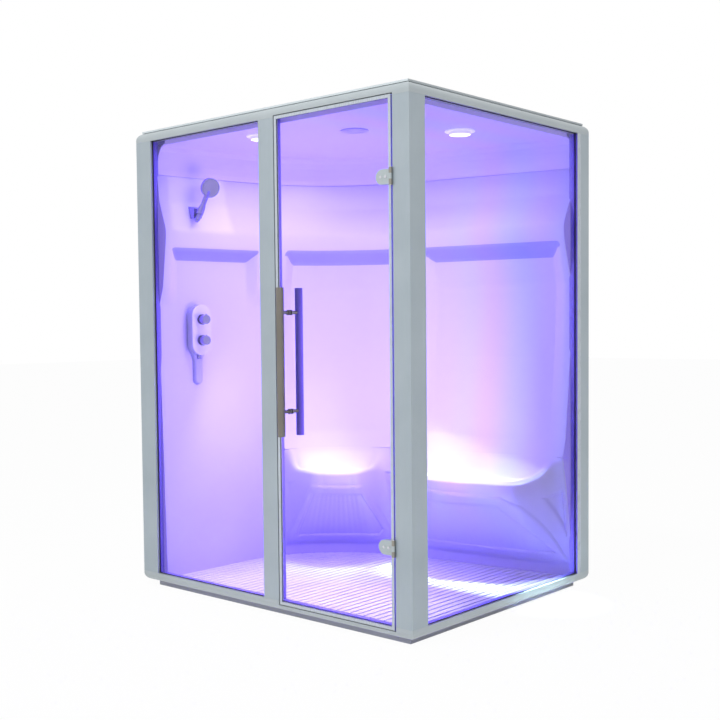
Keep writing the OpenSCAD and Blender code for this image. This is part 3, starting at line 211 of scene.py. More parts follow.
deep_violet, pale_violet = (0.20, 0.15, 0.70), (0.30, 0.24, 0.90)
satin_upright = metal("satin_aluminium_upright", (0.41, 0.475, 0.515), (0.48, 0.545, 0.585), 0.42,
                      (60, 60, 1.5), 12, 0.55, inside=deep_violet)
satin_lengthwise = metal("satin_aluminium_lengthwise", (0.46, 0.51, 0.53), (0.53, 0.58, 0.60), 0.42,
                         (1.5, 1.5, 60), 12, 0.55, inside=pale_violet)
bright_edge = metal("bright_aluminium_edge", (0.52, 0.57, 0.62), (0.60, 0.65, 0.70), 0.3,
                    (60, 60, 1.5), 12, 0.5, inside=deep_violet)
dress(["post_left", "post_middle", "post_near", "post_far", "post_back_left"], satin_upright)
dress(["rail_low_front", "rail_low_back", "rail_low_left", "rail_low_right",
       "rail_top_front", "rail_top_back", "rail_top_left", "rail_top_right"], satin_lengthwise)
dress(["side_channel", "door_trim"], bright_edge)

# Outer skins: a painted roof panel, two closed laminate panels on the left and at the back,
# the painted plinth, and the tray, which is dark because it lies in the shade of the slats.


def plastic(name, low, high, rough, coat=0.0):
    """Moulded or painted skin with a faint mottle and orange-peel texture."""
    peel_scale, mottle_scale, peel_height = 90, 6.0, 0.06
    mat, tree, shader = new_material(name)
    mottle, fine = add_grain(tree, (1, 1, 1), peel_scale, mottle_scale)
    link(tree, mix_colour(tree, spread(tree, mottle, 0, 1), low, high), shader.inputs["Base Color"])
    link(tree, spread(tree, mottle, rough - 0.04, rough + 0.04), shader.inputs["Roughness"])
    shader.inputs["Coat Weight"].default_value = coat
    add_bump(tree, shader, fine, peel_height, 0.0004)
    return mat


roof_paint = plastic("roof_paint", (0.72, 0.78, 0.80), (0.77, 0.83, 0.85), 0.45)
panel_laminate = plastic("panel_laminate", (0.72, 0.72, 0.74), (0.77, 0.77, 0.79), 0.38, 0.2)
plinth_paint = plastic("plinth_paint", (0.55, 0.57, 0.57), (0.61, 0.63, 0.63), 0.5)
tray_shaded = plastic("tray_white", (0.07, 0.04, 0.17), (0.10, 0.06, 0.21), 0.35, 0.3)
dress(["roof_panel"], roof_paint)
dress(["panel_left", "panel_back"], panel_laminate)
dress(["plinth"], plinth_paint)
dress(["tray"], tray_shaded)

# Panes of clear safety glass: two fixed ones set in black rubber in the frame's grooves, and the
# door's in its trim. The glass is perfectly smooth; the rubber, which is also what the door shuts
# on, has a dry, dusty skin.


def clear_glass(name, low, high):
    """Clear glass, with a low IOR so that it mirrors little of the white studio."""
    mat, tree, shader = new_material(name)
    shader.inputs["Roughness"].default_value = 0.0
    shader.inputs["IOR"].default_value = 1.22
    shader.inputs["Transmission Weight"].default_value = 1.0
    mottle, _ = add_grain(tree, (1, 1, 1), 2, 1.2)
    link(tree, mix_colour(tree, spread(tree, mottle, 0, 1), low, high), shader.inputs["Base Color"])
    return mat


pane_glass = clear_glass("pane_glass", (0.972, 0.978, 1.0), (0.980, 0.986, 1.0))
rubber = plastic("seal_rubber", (0.035, 0.035, 0.04), (0.055, 0.055, 0.06), 0.7)
dress(["front_glass", "side_glass", "door_glass"], pane_glass)
dress(["gaskets", "door_stops"], rubber)

# Mouldings of white acrylic, vacuum-formed in one skin each and backed with resin: the shower wall
# on the left, the backrest round the corner, and the bench below it. Their plan, in millimetres
# from the cabin's front left corner, is two straight runs that lean, joined by a round corner.
LEAN = math.radians(9.5)
CORNER = 680.0
FRONT = np.array([97.0, 45.3])
END = np.array([1554.7, 1234.0])
CENTRE = np.array([800.0, 618.5])
END_BLEND = 90
SPAN = END - FRONT
RUN_LEFT = (SPAN[1] * math.cos(LEAN) - SPAN[0] * math.sin(LEAN)) / math.cos(2 * LEAN)
RUN_BACK = (SPAN[0] * math.cos(LEAN) - SPAN[1] * math.sin(LEAN)) / math.cos(2 * LEAN)
TURN = math.pi / 2 - 2 * LEAN
TANGENT = CORNER * math.tan(TURN / 2)
ARC = CORNER * TURN
ARC_START = RUN_LEFT - TANGENT
ARC_END = ARC_START + ARC
RUN_END = ARC_END + RUN_BACK - TANGENT
LEFT_DIR = np.array([math.sin(LEAN), math.cos(LEAN)])
BACK_DIR = np.array([math.cos(LEAN), math.sin(LEAN)])
ARC_MID = FRONT + ARC_START * LEFT_DIR + CORNER * np.array([math.cos(LEAN), -math.sin(LEAN)])
SHOWER_RUN = 640.0


def plan(run):
    """Point and outward direction of the inner walls at a run from the front left end."""
    run = np.asarray(run, float)
    angle = LEAN + TURN * np.clip((run - ARC_START) / ARC, 0, 1)
    inward = np.stack([np.cos(angle), -np.sin(angle)], -1)
    point = ARC_MID - CORNER * inward
    point = np.where((run <= ARC_START)[..., None], FRONT + run[..., None] * LEFT_DIR, point)
    point = np.where((run >= ARC_END)[..., None], END - (RUN_END - run)[..., None] * BACK_DIR, point)
    skew = math.tan(LEAN)
    near_front = np.clip(1 - run / END_BLEND, 0, 1)
    near_end = np.clip(1 - (RUN_END - run) / END_BLEND, 0, 1)
    out = inward + (near_front * skew)[..., None] * LEFT_DIR
    out = out - (near_end * skew)[..., None] * BACK_DIR
    return point, out


def place(run, out, height):
    """Millimetres on the walls to metres in the cabin's frame."""
    point, direction = plan(run)
    flat = point + np.asarray(out)[..., None] * direction - CENTRE
    return np.stack([flat[..., 0], flat[..., 1], np.asarray(height)], -1) / 1000


def eased(value, table, blur):
    """Value read from a table whose corners are rounded over some millimetres."""
    xs = np.array([p[0] for p in table], float)
    ys = np.array([p[1] for p in table], float)
    fine = np.arange(xs[0], xs[-1] + 1, 1.0)
    heights = np.interp(fine, xs, ys)
    reach = int(3 * blur)
    weights = np.exp(-0.5 * (np.arange(-reach, reach + 1) / blur) ** 2)
    weights /= weights.sum()
    before = 2 * heights[0] - heights[reach:0:-1]
    after = 2 * heights[-1] - heights[-2:-reach - 2:-1]
    padded = np.concatenate([before, heights, after])
    return np.interp(value, fine, np.convolve(padded, weights, "valid"))


def ease(t):
    """A smooth step from 0 to 1."""
    t = np.clip(t, 0, 1)
    return t * t * (3 - 2 * t)


SHEET_T, CREASE = 0.007, 50


def sheet_mesh(name, points, material):
    """A grid of points as a smooth skin with a thickness behind it; its end columns are shaded."""
    count, rows = points.shape[:2]
    grid = np.arange(count * rows).reshape(count, rows)
    faces = np.stack([grid[:-1, :-1], grid[:-1, 1:], grid[1:, 1:], grid[1:, :-1]], -1).reshape(-1, 4)
    mesh = bpy.data.meshes.new(name)
    mesh.from_pydata(points.reshape(-1, 3).tolist(), [], faces.tolist())
    mesh.polygons.foreach_set("use_smooth", [True] * len(mesh.polygons))
    mesh.materials.append(material)
    mesh.materials.append(acrylic_shade)
    per_column = rows - 1
    last_column = (count - 2) * per_column
    for polygon in mesh.polygons:
        if not per_column <= polygon.index < last_column:
            polygon.material_index = 1
    piece = bpy.data.objects.new(name, mesh)
    bpy.context.scene.collection.objects.link(piece)
    wall = piece.modifiers.new("wall", "SOLIDIFY")
    wall.thickness = SHEET_T
    wall.offset = -1
    wall.use_even_offset = False
    solid = piece.evaluated_get(bpy.context.evaluated_depsgraph_get())
    shell = bpy.data.meshes.new_from_object(solid)
    shell.set_sharp_from_angle(angle=math.radians(CREASE))
    piece.modifiers.clear()
    piece.data = shell
    shell.name = name
    return piece


def smooth_rise(tree, value, low, high):
    """A mask that rises smoothly from 0 to 1 between two values."""
    n = tree.nodes.new("ShaderNodeMapRange")
    n.interpolation_type = "SMOOTHSTEP"
    n.inputs["From Min"].default_value = low
    n.inputs["From Max"].default_value = high
    link(tree, value, n.inputs["Value"])
    return n.outputs["Result"]


def painted_light_bands(tree):
    """Painted light: soft upright bands across the back wall, a pink and a cyan one by the side pane, for
    the lamps' mixed colours.
    """
    where = tree.nodes.new("ShaderNodeTexCoord")
    bands = tree.nodes.new("ShaderNodeTexWave")
    bands.bands_direction = "X"
    bands.inputs["Scale"].default_value = 1.08
    bands.inputs["Distortion"].default_value = 0.0
    bands.inputs["Phase Offset"].default_value = 4.65
    link(tree, where.outputs["Object"], bands.inputs["Vector"])
    return mix_colour(tree, bands.outputs["Fac"], (1.07, 0.96, 1.0), (0.93, 1.06, 1.0))


def acrylic(name, deep, pale, glow):
    """Glossy acrylic with the lamps' violet in it, and painted light and shade: paler high up with painted
    shade towards the foot, painted shade under the ledges, painted light bands by the side pane, and a
    faint painted violet glow.
    """
    mat, tree, shader = new_material(name)
    mottle, fine = add_grain(tree, (1, 1, 1), 40, 2.5)
    dark_foot, pale_from = 0.1, 0.6
    bands_from, bands_full = 0.12, 0.36
    ledge_low, ledge_high = 1.5, 1.58
    spot = split_xyz(tree, "Object")
    facing = split_xyz(tree, "Normal")
    # Painted shade: darker towards the foot, paler high up.
    high = smooth_rise(tree, spot["Z"], dark_foot, pale_from)
    tint = mix_colour(tree, spread(tree, mottle, 0, 1), (0.96, 0.96, 0.98), (1, 1, 1))
    colour = blend(tree, 1.0, mix_colour(tree, high, deep, pale), tint, "MULTIPLY")
    # Painted light: pink and cyan bands near the side pane.
    near_pane = smooth_rise(tree, spot["X"], bands_from, bands_full)
    by_pane = math_node(tree, "MULTIPLY", near_pane, high)
    colour = blend(tree, by_pane, colour, painted_light_bands(tree), "MULTIPLY")
    # Painted shade under the ledges, where the faces look down.
    facing_down = math_node(tree, "LESS_THAN", facing["Z"], -0.3)
    at_ledge = between(tree, spot["Z"], ledge_low, ledge_high)
    under = math_node(tree, "MULTIPLY", facing_down, at_ledge)
    shade = mix_colour(tree, under, (1, 1, 1), (0.50, 0.52, 0.90))
    colour = blend(tree, 1.0, colour, shade, "MULTIPLY")
    link(tree, colour, shader.inputs["Base Color"])
    link(tree, spread(tree, mottle, 0.34, 0.42), shader.inputs["Roughness"])
    shader.inputs["Coat Weight"].default_value = 0.3
    # The violet glow is painted light: the acrylic is no lamp.
    shader.inputs["Emission Color"].default_value = (0.30, 0.20, 1.0, 1)
    shader.inputs["Emission Strength"].default_value = glow
    add_bump(tree, shader, fine, 0.03, 0.0005)
    return mat


# Copies of the acrylic with painted light and shade: the wall's is painted less dark at its foot, and
# acrylic_shade is the painted-shade copy for end faces, dark violet with more glow.
acrylic_skin = acrylic("acrylic_skin", (0.38, 0.31, 0.86), (0.52, 0.45, 0.95), 0.08)
acrylic_wall = acrylic("acrylic_wall", (0.50, 0.43, 0.94), (0.52, 0.45, 0.95), 0.08)
acrylic_shade = acrylic("acrylic_shade", (0.12, 0.08, 0.50), (0.15, 0.10, 0.58), 0.45)
dress(["backrest", "bench"], acrylic_skin)
dress(["shower_wall"], acrylic_wall)
SEAM, CREST, WAIST, JOINT = 1900.0, 1647.0, 1386.0, 600.0
BROW = SEAM + (CREST - SEAM) * 0.5
NOSE = CREST + (WAIST - CREST) * 0.18
LIP = CREST + (WAIST - CREST) * 0.31
VALVE_TOP, VALVE_FOOT = 1307.5, 1072.5
FOOT = 31.3
FOOT_FRONT, FOOT_SEAM, FOOT_END = 25, -60, -5
WALL_BLUR = 9.0
WALL_END_OUT = -7.0
PANEL_SINK, PANEL_BEVEL, PANEL_MARGIN = 35, 50, 30
MESH_STEP = 9


def back_out(height):
    """How far the backrest stands out from the plan at a height, from pairs of the two."""
    rise = WAIST - JOINT
    return eased(height, [
        (JOINT, 95), (JOINT + rise * 0.1, 70.3), (JOINT + rise * 0.45, 41), (JOINT + rise * 0.7, 21.6),
        (JOINT + rise * 0.86, 15.6), (WAIST, 19.2), (LIP, 75.2), (NOSE, 83.3), (CREST, 85),
        (CREST + (BROW - CREST) * 0.5, 54.4), (BROW, 18.7), (SEAM, 0)], WALL_BLUR)


def sunk(run, height, first, last):
    """1 inside a sunk panel between two runs and below the lip, falling to 0 over its bevel."""
    edge = np.minimum(np.minimum(run - first, last - run), LIP - height) / PANEL_BEVEL
    return np.clip(edge, 0, 1)


def back_face(run, height):
    """The backrest with its two sunk panels, which fade out towards the bench."""
    corner = sunk(run, height, SHOWER_RUN + PANEL_MARGIN, ARC_END + PANEL_MARGIN)
    back = sunk(run, height, ARC_END + 3 * PANEL_MARGIN, RUN_END - PANEL_MARGIN)
    full = np.clip((height - JOINT) / (LIP - PANEL_BEVEL - JOINT), 0, 1)
    return back_out(height) - PANEL_SINK * np.maximum(corner, back) * full


def shower_face(run, height):
    """The shower wall: it bulges above the valve, with one sunk panel, and flares at its foot."""
    bulge = eased(height, [
        (0, 0), (VALVE_TOP, 0), (WAIST, 27.5), (NOSE, 52.8), (CREST, 55), (BROW, 13.75),
        (SEAM, 0)], WALL_BLUR)
    flare = FOOT_FRONT + (FOOT_SEAM - FOOT_FRONT) * np.clip(run / SHOWER_RUN, 0, 1)
    low = np.clip((VALVE_FOOT - height) / (VALVE_FOOT - FOOT), 0, 1)
    panel = sunk(run, height, PANEL_MARGIN, SHOWER_RUN - 4 * PANEL_MARGIN)
    return bulge * (1 - panel) + flare * low


def end_column(run, out, heights):
    """A column of points that runs back to the frame, so that the end shows as a face."""
    return place(np.full(len(heights), run), np.full(len(heights), out), heights)[None]


def wall_piece(name, first, last, low, high, face, node, material):
    """One wall moulding as a skin that stands in for its CAD piece."""
    runs = np.linspace(first, last, int((last - first) / MESH_STEP) + 1)
    heights = np.linspace(low, high, int((high - low) / MESH_STEP) + 1)
    run, height = np.meshgrid(runs, heights, indexing="ij")
    points = np.concatenate([
        end_column(first, WALL_END_OUT, heights),
        place(run, face(run, height), height),
        end_column(last, WALL_END_OUT, heights)])
    piece = sheet_mesh(name, points, material)
    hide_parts(node)
    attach(piece, "cabin")


wall_piece("shower_wall_skin", 0.0, SHOWER_RUN - 0.3, FOOT, SEAM - 3,
           shower_face, "shower_wall", acrylic_wall)
wall_piece("backrest_skin", SHOWER_RUN, RUN_END, JOINT + 0.05, SEAM - 3,
           back_face, "backrest", acrylic_skin)

# Bench: one acrylic moulding with a corner seat, a back seat and a skirt that slopes back to the
# floor, with pressed panels, flutes and triangles. Its tables are shares: the depth along each
# seat, the rise of the skirt, and the cove behind the seat.
VALLEY = SHOWER_RUN + 624.0
SEAT_DEPTH, SEAT_Z = 330, 503
COVE_OUT, FULL_REACH = 95, 110
KICK_Z, KICK_ROUND = 93.3, 8
EDGE_ROUND, EDGE_DROP, EDGE_LIP = 12, 60, 14
END_RISE, END_RISE_RUN = 70, 170
CORNER_SEAT = [
    (0, 0.03), (0.05, 0.35), (0.154, 0.77), (0.31, 0.91), (0.47, 0.945), (0.64, 0.90), (0.777, 0.77),
    (0.88, 0.38), (1, 0.21)]
BACK_SEAT = [
    (0, 0.21), (0.08, 0.32), (0.184, 0.65), (0.353, 0.92), (0.484, 1), (0.653, 0.945), (0.8, 0.9),
    (0.88, 0.58), (0.94, 0.36), (1, 0.27)]
SKIRT = [(0, 0), (0.2, 0.17), (0.42, 0.4), (0.66, 0.66), (0.86, 0.87), (1, 1)]
COVE = [
    (0.8, -0.02), (0.66, -0.01), (0.5, 0.06), (0.36, 0.2), (0.24, 0.38), (0.12, 0.62), (0.04, 0.82),
    (0, 1)]


def hermite(value, table):
    """Smooth curve through a table of points."""
    xs = np.array([p[0] for p in table], float)
    ys = np.array([p[1] for p in table], float)
    slope = np.empty(len(xs))
    slope[1:-1] = (ys[2:] - ys[:-2]) / (xs[2:] - xs[:-2])
    slope[0] = (ys[1] - ys[0]) / (xs[1] - xs[0])
    slope[-1] = (ys[-1] - ys[-2]) / (xs[-1] - xs[-2])
    i = np.clip(np.searchsorted(xs, value, "right") - 1, 0, len(xs) - 2)
    w = xs[i + 1] - xs[i]
    u = (value - xs[i]) / w
    rise = ys[i] + (ys[i + 1] - ys[i]) * u * u * (3 - 2 * u)
    return rise + u * (1 - u) * (slope[i] * w * (1 - u) - slope[i + 1] * w * u)


def seat_edge(run):
    """How far the edge of the seat stands out from the plan; the two seats meet at VALLEY."""
    corner = hermite(np.clip((run - SHOWER_RUN) / (VALLEY - SHOWER_RUN), 0, 1), CORNER_SEAT)
    back = hermite(np.clip((run - VALLEY) / (RUN_END - VALLEY), 0, 1), BACK_SEAT)
    return SEAT_DEPTH * np.where(run < VALLEY, corner, back)


def bench_lines(runs):
    """Sections of the bench from the foot to the joint, one row of points for each run."""
    edge = seat_edge(runs)
    seat = SEAT_Z + END_RISE * ease(1 - (RUN_END - runs) / END_RISE_RUN)
    foot = FOOT_SEAM + (FOOT_END - FOOT_SEAM) * (runs - SHOWER_RUN) / (RUN_END - SHOWER_RUN)
    reach = edge - COVE_OUT
    low, high = np.full(len(runs), KICK_Z + KICK_ROUND), seat - EDGE_DROP
    near, far = foot + KICK_ROUND, edge - EDGE_LIP
    line = [(foot, np.full(len(runs), FOOT)), (foot, np.full(len(runs), KICK_Z))]
    for across, up in SKIRT:
        line.append((near + (far - near) * across, low + (high - low) * up))
    room = np.maximum(reach, 0)
    line.append((edge, seat - EDGE_ROUND))
    line.append((edge - room * 0.01, seat - EDGE_ROUND / 3))
    line.append((edge - room * 0.05, seat))
    flat = ease(reach / FULL_REACH)
    for across, up in COVE:
        share = (1 - across) + (up - (1 - across)) * flat
        line.append((COVE_OUT + reach * across, seat + (JOINT - seat) * share))
    return np.stack([np.stack(point, -1) for point in line], 1)


def round_off(lines, times):
    """Cuts the corners of every section in turn, keeping its two ends."""
    for _ in range(times):
        a, b = lines[:, :-1], lines[:, 1:]
        cut = np.stack([a * 0.75 + b * 0.25, a * 0.25 + b * 0.75], 2).reshape(len(lines), -1, 2)
        lines = np.concatenate([lines[:, :1], cut, lines[:, -1:]], 1)
    return lines


def even_rows(lines, count):
    """The same sections with their points spread evenly along them."""
    step = np.hypot(np.diff(lines[..., 0], axis=1), np.diff(lines[..., 1], axis=1))
    along = np.concatenate([np.zeros((len(lines), 1)), np.cumsum(step, 1)], 1)
    rows = []
    for line, dist in zip(lines, along):
        at = np.linspace(0, dist[-1], count)
        rows.append(np.stack([np.interp(at, dist, line[:, 0]), np.interp(at, dist, line[:, 1])], -1))
    return np.array(rows)


def within(run, height, outline, edge):
    """1 inside a convex outline of the skirt, easing to 0 at its border."""
    depth = np.full(run.shape, 1e9)
    middle = np.mean(np.array(outline), 0)
    for a, b in zip(outline, outline[1:] + outline[:1]):
        along = np.array([b[0] - a[0], b[1] - a[1]], float)
        normal = np.array([-along[1], along[0]]) / np.hypot(*along)
        if (middle - a) @ normal < 0:
            normal = -normal
        depth = np.minimum(depth, (run - a[0]) * normal[0] + (height - a[1]) * normal[1])
    return ease(depth / edge)


PRESS, PRESS_EDGE = 9, 9
FLUTE_PITCH, FLUTE_DEPTH, FLUTE_BED = 30, 0.9, 11
NOTCH, NOTCH_EDGE = 16, 14
BENCH_END_OUTS = (-68.0, -12.0)
COLUMNS, ROWS, CORNER_CUTS = 366, 108, 3
raised_panels = [
    [(744, 443), (1125, 436), (1235, 150), (1210, 110), (700, 110), (690, 170)],
    [(1470, 452), (1942, 436), (2009, 393), (2160, 110), (1330, 110), (1345, 200)]]
fluted_beds = [
    [(757, 399), (1114, 393), (1190, 180), (1165, 150), (735, 150), (728, 185)],
    [(1490, 396), (1910, 393), (2110, 150), (1385, 150), (1392, 205)]]
triangles = [
    [(655, 439), (690, 450), (676, 300)],
    [(1215, 486), (1322, 488), (1236, 282)],
    [(2066, 426), (2163, 459), (2163, 219)]]
bench_runs = np.linspace(SHOWER_RUN, RUN_END, COLUMNS)
sections = even_rows(round_off(bench_lines(bench_runs), CORNER_CUTS), ROWS)
run_grid = np.repeat(bench_runs[:, None], sections.shape[1], 1)
height_grid = sections[..., 1].copy()
raise_mask = [within(run_grid, height_grid, outline, PRESS_EDGE) for outline in raised_panels]
bed_mask = [within(run_grid, height_grid, outline, PRESS_EDGE) for outline in fluted_beds]
press = PRESS * raise_mask[0] + PRESS * raise_mask[1]
flute = 0.5 + 0.5 * np.cos(run_grid * 2 * math.pi / FLUTE_PITCH)
press = press - (bed_mask[0] + bed_mask[1]) * (FLUTE_BED - FLUTE_DEPTH * flute)
for outline in triangles:
    press = press - NOTCH * within(run_grid, height_grid, outline, NOTCH_EDGE)
sections[..., 0] += press
bench_points = np.concatenate([
    end_column(bench_runs[0], BENCH_END_OUTS[0], sections[0, :, 1]),
    place(run_grid, sections[..., 0], sections[..., 1]),
    end_column(bench_runs[-1], BENCH_END_OUTS[1], sections[-1, :, 1])])
bench_skin = sheet_mesh("bench_skin", bench_points, acrylic_skin)
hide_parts("bench")
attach(bench_skin, "cabin")

# Ceiling: a moulding of white acrylic with a cove. Two lamps with frosted lenses and a round
# vent of plastic sit in its holes, and the driver of the lamps is a closed plastic case.
# The ceiling's acrylic is painted paler than the walls' and glows more: painted light.
acrylic_ceiling = acrylic("acrylic_ceiling", (0.50, 0.42, 0.95), (0.60, 0.50, 0.97), 0.30)
dress(["ceiling"], acrylic_ceiling)
# The lamp trims are painted with a faint glow: painted light, for the trims are no lamps.
lamp_trim = plastic("lamp_trim", (0.80, 0.76, 0.94), (0.86, 0.82, 0.98), 0.35)
trim_painted_glow = lamp_trim.node_tree.nodes["Principled BSDF"]
trim_painted_glow.inputs["Emission Color"].default_value = (0.85, 0.80, 1.0, 1)
trim_painted_glow.inputs["Emission Strength"].default_value = 0.35
dress(["lamp_housings"], lamp_trim)
# The vent's violet is the lamps' light, painted into its colour.
vent_plastic = plastic("vent_plastic", (0.50, 0.42, 0.92), (0.56, 0.48, 0.96), 0.4)
dress(["ceiling_vent"], vent_plastic)
driver_case = plastic("driver_case", (0.05, 0.06, 0.07), (0.08, 0.09, 0.10), 0.6)
dress(["lamp_driver"], driver_case)
lens_glow, lens_tree, lens_shader = new_material("lens_glow")
lens_mottle, _ = add_grain(lens_tree, (1, 1, 1), 200, 30)
lens_top = 2.0135
face_glow, rim_glow = 2.2, 0.25
lens_base = mix_colour(lens_tree, lens_mottle, (0.85, 0.80, 1.0), (0.95, 0.92, 1.0))
lens_light = mix_colour(lens_tree, lens_mottle, (0.70, 0.60, 1.0), (0.85, 0.78, 1.0))
lens_face = math_node(lens_tree, "LESS_THAN", split_xyz(lens_tree, "Object")["Z"], lens_top)
lens_power = math_node(lens_tree, "MULTIPLY", lens_face, face_glow)
lens_power = math_node(lens_tree, "ADD", lens_power, rim_glow)
link(lens_tree, lens_base, lens_shader.inputs["Base Color"])
link(lens_tree, lens_light, lens_shader.inputs["Emission Color"])
link(lens_tree, lens_power, lens_shader.inputs["Emission Strength"])
dress(["lamp_lenses"], lens_glow)

# Floor: slats and bearers of white plastic, which take the violet of the lamps, laid over
# the tray. Its waste and grate are polished metal.
slat_plastic = plastic("slat_plastic", (0.68, 0.62, 0.92), (0.76, 0.70, 0.97), 0.4, 0.1)
dress(["floor_slats", "slat_bearers"], slat_plastic)
polished = metal("polished_chrome", (0.62, 0.63, 0.68), (0.70, 0.71, 0.76), 0.12, (1, 1, 1), 30, 1.0, 0.02)
dress(["drain", "drain_grate"], polished)

# Shower: a white plastic valve housing over a brass body, chromed rings and round knobs, and a
# chromed hand shower in its holder. The chrome mirrors the violet room, so its colour is violet
# too. The two water inlets in the back panel are brass.
# The white housing is painted in the lamps' violet: painted light.
valve_white = plastic("valve_white", (0.56, 0.50, 0.93), (0.62, 0.56, 0.97), 0.25, 0.4)
dress(["valve_housing"], valve_white)
brass = metal("bare_brass", (0.62, 0.45, 0.20), (0.70, 0.52, 0.25), 0.35, (1, 1, 1), 60)
dress(["valve_body", "water_inlets"], brass)
shower_chrome = metal("shower_chrome", (0.26, 0.21, 0.60), (0.34, 0.29, 0.70), 0.14,
                      (1, 1, 1), 30, 1.0, 0.02)
dress(["valve_rings", "knob_high", "knob_low", "hose_outlet",
       "shower_base", "shower_holder", "handset"], shower_chrome)

# Tail under the valve: the acrylic swells below the housing and narrows into a raised tail
# with a round end. It is pressed in one with the wall, so nothing fixes it.
VALVE_RUN = 189.0
TAIL_SIDE, TAIL_BELOW, TAIL_TOP = 62, 35, 1150
TAIL_COLUMNS, TAIL_ROWS = 63, 107
TAIL_HALF, TAIL_SWELL, TAIL_LOW, TAIL_NECK, TAIL_NECK_H = 23.0, 26, 958.0, 1038.0, 85
TAIL_RAISE, TAIL_EDGE, TAIL_SET = 18, 9, 2
tail_runs = np.linspace(VALVE_RUN - TAIL_SIDE, VALVE_RUN + TAIL_SIDE, TAIL_COLUMNS)
tail_heights = np.linspace(TAIL_LOW - TAIL_BELOW, TAIL_TOP, TAIL_ROWS)
tail_run, tail_height = np.meshgrid(tail_runs, tail_heights, indexing="ij")
beside = np.abs(tail_run - VALVE_RUN)
half_width = TAIL_HALF + TAIL_SWELL * ease((tail_height - TAIL_NECK) / TAIL_NECK_H)
round_end = TAIL_HALF - np.hypot(beside, tail_height - TAIL_LOW)
inset = np.where(tail_height > TAIL_LOW, half_width - beside, round_end)
raised = TAIL_RAISE * ease(inset / TAIL_EDGE) - TAIL_SET
tail_points = place(tail_run, shower_face(tail_run, tail_height) + raised, tail_height)
# The tail is painted a darker violet than the wall: painted shade under the housing.
tail_acrylic_shaded = plastic("tail_acrylic_shaded", (0.36, 0.32, 0.90), (0.40, 0.36, 0.94), 0.3, 0.3)
valve_tail = sheet_mesh("valve_tail", tail_points, tail_acrylic_shaded)
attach(valve_tail, "cabin")

# Spray face of the hand shower: soft rubber nubs that stand out of the chromed plate, in four
# rings round its middle. The named values repeat where the source puts the spray head.
BRACKET_RUN, BRACKET_Z = 165.0, 1.735
HOLDER_TILT, SPRAY_TILT = math.radians(-24), math.radians(16)
FACE_OUT, FACE_UP, FACE_PROUD = 0.099, 0.123, 0.0161


def spray_head():
    """Frame of the spray head: X points along the spray."""
    point, _ = plan(np.array(BRACKET_RUN))
    x, y = (point - CENTRE) / 1000
    wall = Matrix.Translation((x, y, BRACKET_Z))
    wall = wall @ Matrix.Rotation(-LEAN, 4, "Z") @ Matrix.Rotation(HOLDER_TILT, 4, "X")
    return wall @ Matrix.Translation((FACE_OUT, 0, FACE_UP)) @ Matrix.Rotation(SPRAY_TILT, 4, "Y")


def ring_tree():
    """Rings of instanced nubs; their sizes and their material come in as inputs."""
    tree = bpy.data.node_groups.new("nub_rings", "GeometryNodeTree")
    face = tree.interface
    face.new_socket("Geometry", in_out="INPUT", socket_type="NodeSocketGeometry")
    for label in ("Ring Pitch", "Nub Radius", "Nub Height"):
        face.new_socket(label, in_out="INPUT", socket_type="NodeSocketFloat")
    face.new_socket("Material", in_out="INPUT", socket_type="NodeSocketMaterial")
    face.new_socket("Geometry", in_out="OUTPUT", socket_type="NodeSocketGeometry")
    source = tree.nodes.new("NodeGroupInput")
    out = tree.nodes.new("NodeGroupOutput")
    nub = tree.nodes.new("GeometryNodeMeshCone")
    nub.inputs["Vertices"].default_value = 12
    link(tree, source.outputs["Nub Radius"], nub.inputs["Radius Bottom"])
    link(tree, math_node(tree, "MULTIPLY", source.outputs["Nub Radius"], 0.6), nub.inputs["Radius Top"])
    link(tree, source.outputs["Nub Height"], nub.inputs["Depth"])
    joined = tree.nodes.new("GeometryNodeJoinGeometry")
    for number in range(1, 5):
        circle = tree.nodes.new("GeometryNodeMeshCircle")
        circle.inputs["Vertices"].default_value = 6 * number
        radius = math_node(tree, "MULTIPLY", source.outputs["Ring Pitch"], float(number))
        link(tree, radius, circle.inputs["Radius"])
        link(tree, circle.outputs["Mesh"], joined.inputs["Geometry"])
    spots = tree.nodes.new("GeometryNodeInstanceOnPoints")
    link(tree, joined.outputs["Geometry"], spots.inputs["Points"])
    link(tree, nub.outputs["Mesh"], spots.inputs["Instance"])
    real = tree.nodes.new("GeometryNodeRealizeInstances")
    link(tree, spots.outputs["Instances"], real.inputs["Geometry"])
    paint = tree.nodes.new("GeometryNodeSetMaterial")
    link(tree, real.outputs["Geometry"], paint.inputs["Geometry"])
    link(tree, source.outputs["Material"], paint.inputs["Material"])
    link(tree, paint.outputs["Geometry"], out.inputs["Geometry"])
    return tree


def grown(name, tree, values, where):
    """One mesh made by a node tree, moved to its place, with the modifier gone."""
    holder = bpy.data.objects.new(name + "_source", bpy.data.meshes.new(name + "_source"))
    bpy.context.scene.collection.objects.link(holder)
    step = holder.modifiers.new("nodes", "NODES")
    step.node_group = tree
    for item in tree.interface.items_tree:
        if item.item_type == "SOCKET" and item.in_out == "INPUT" and item.name in values:
            step[item.identifier] = values[item.name]
    bpy.context.view_layer.update()
    solid = holder.evaluated_get(bpy.context.evaluated_depsgraph_get())
    mesh = bpy.data.meshes.new_from_object(solid)
    mesh.transform(where)
    bpy.data.objects.remove(holder)
    piece = bpy.data.objects.new(name, mesh)
    bpy.context.scene.collection.objects.link(piece)
    return piece


nub_rubber = plastic("nub_rubber", (0.16, 0.16, 0.18), (0.22, 0.22, 0.24), 0.6)
nub_sizes = {"Ring Pitch": 0.0085, "Nub Radius": 0.0016, "Nub Height": 0.0016}
face_frame = spray_head() @ Matrix.Translation((FACE_PROUD, 0, 0)) @ Matrix.Rotation(math.pi / 2, 4, "Y")
nubs = grown("spray_nubs", ring_tree(), {**nub_sizes, "Material": nub_rubber}, face_frame)
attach(nubs, "handset")

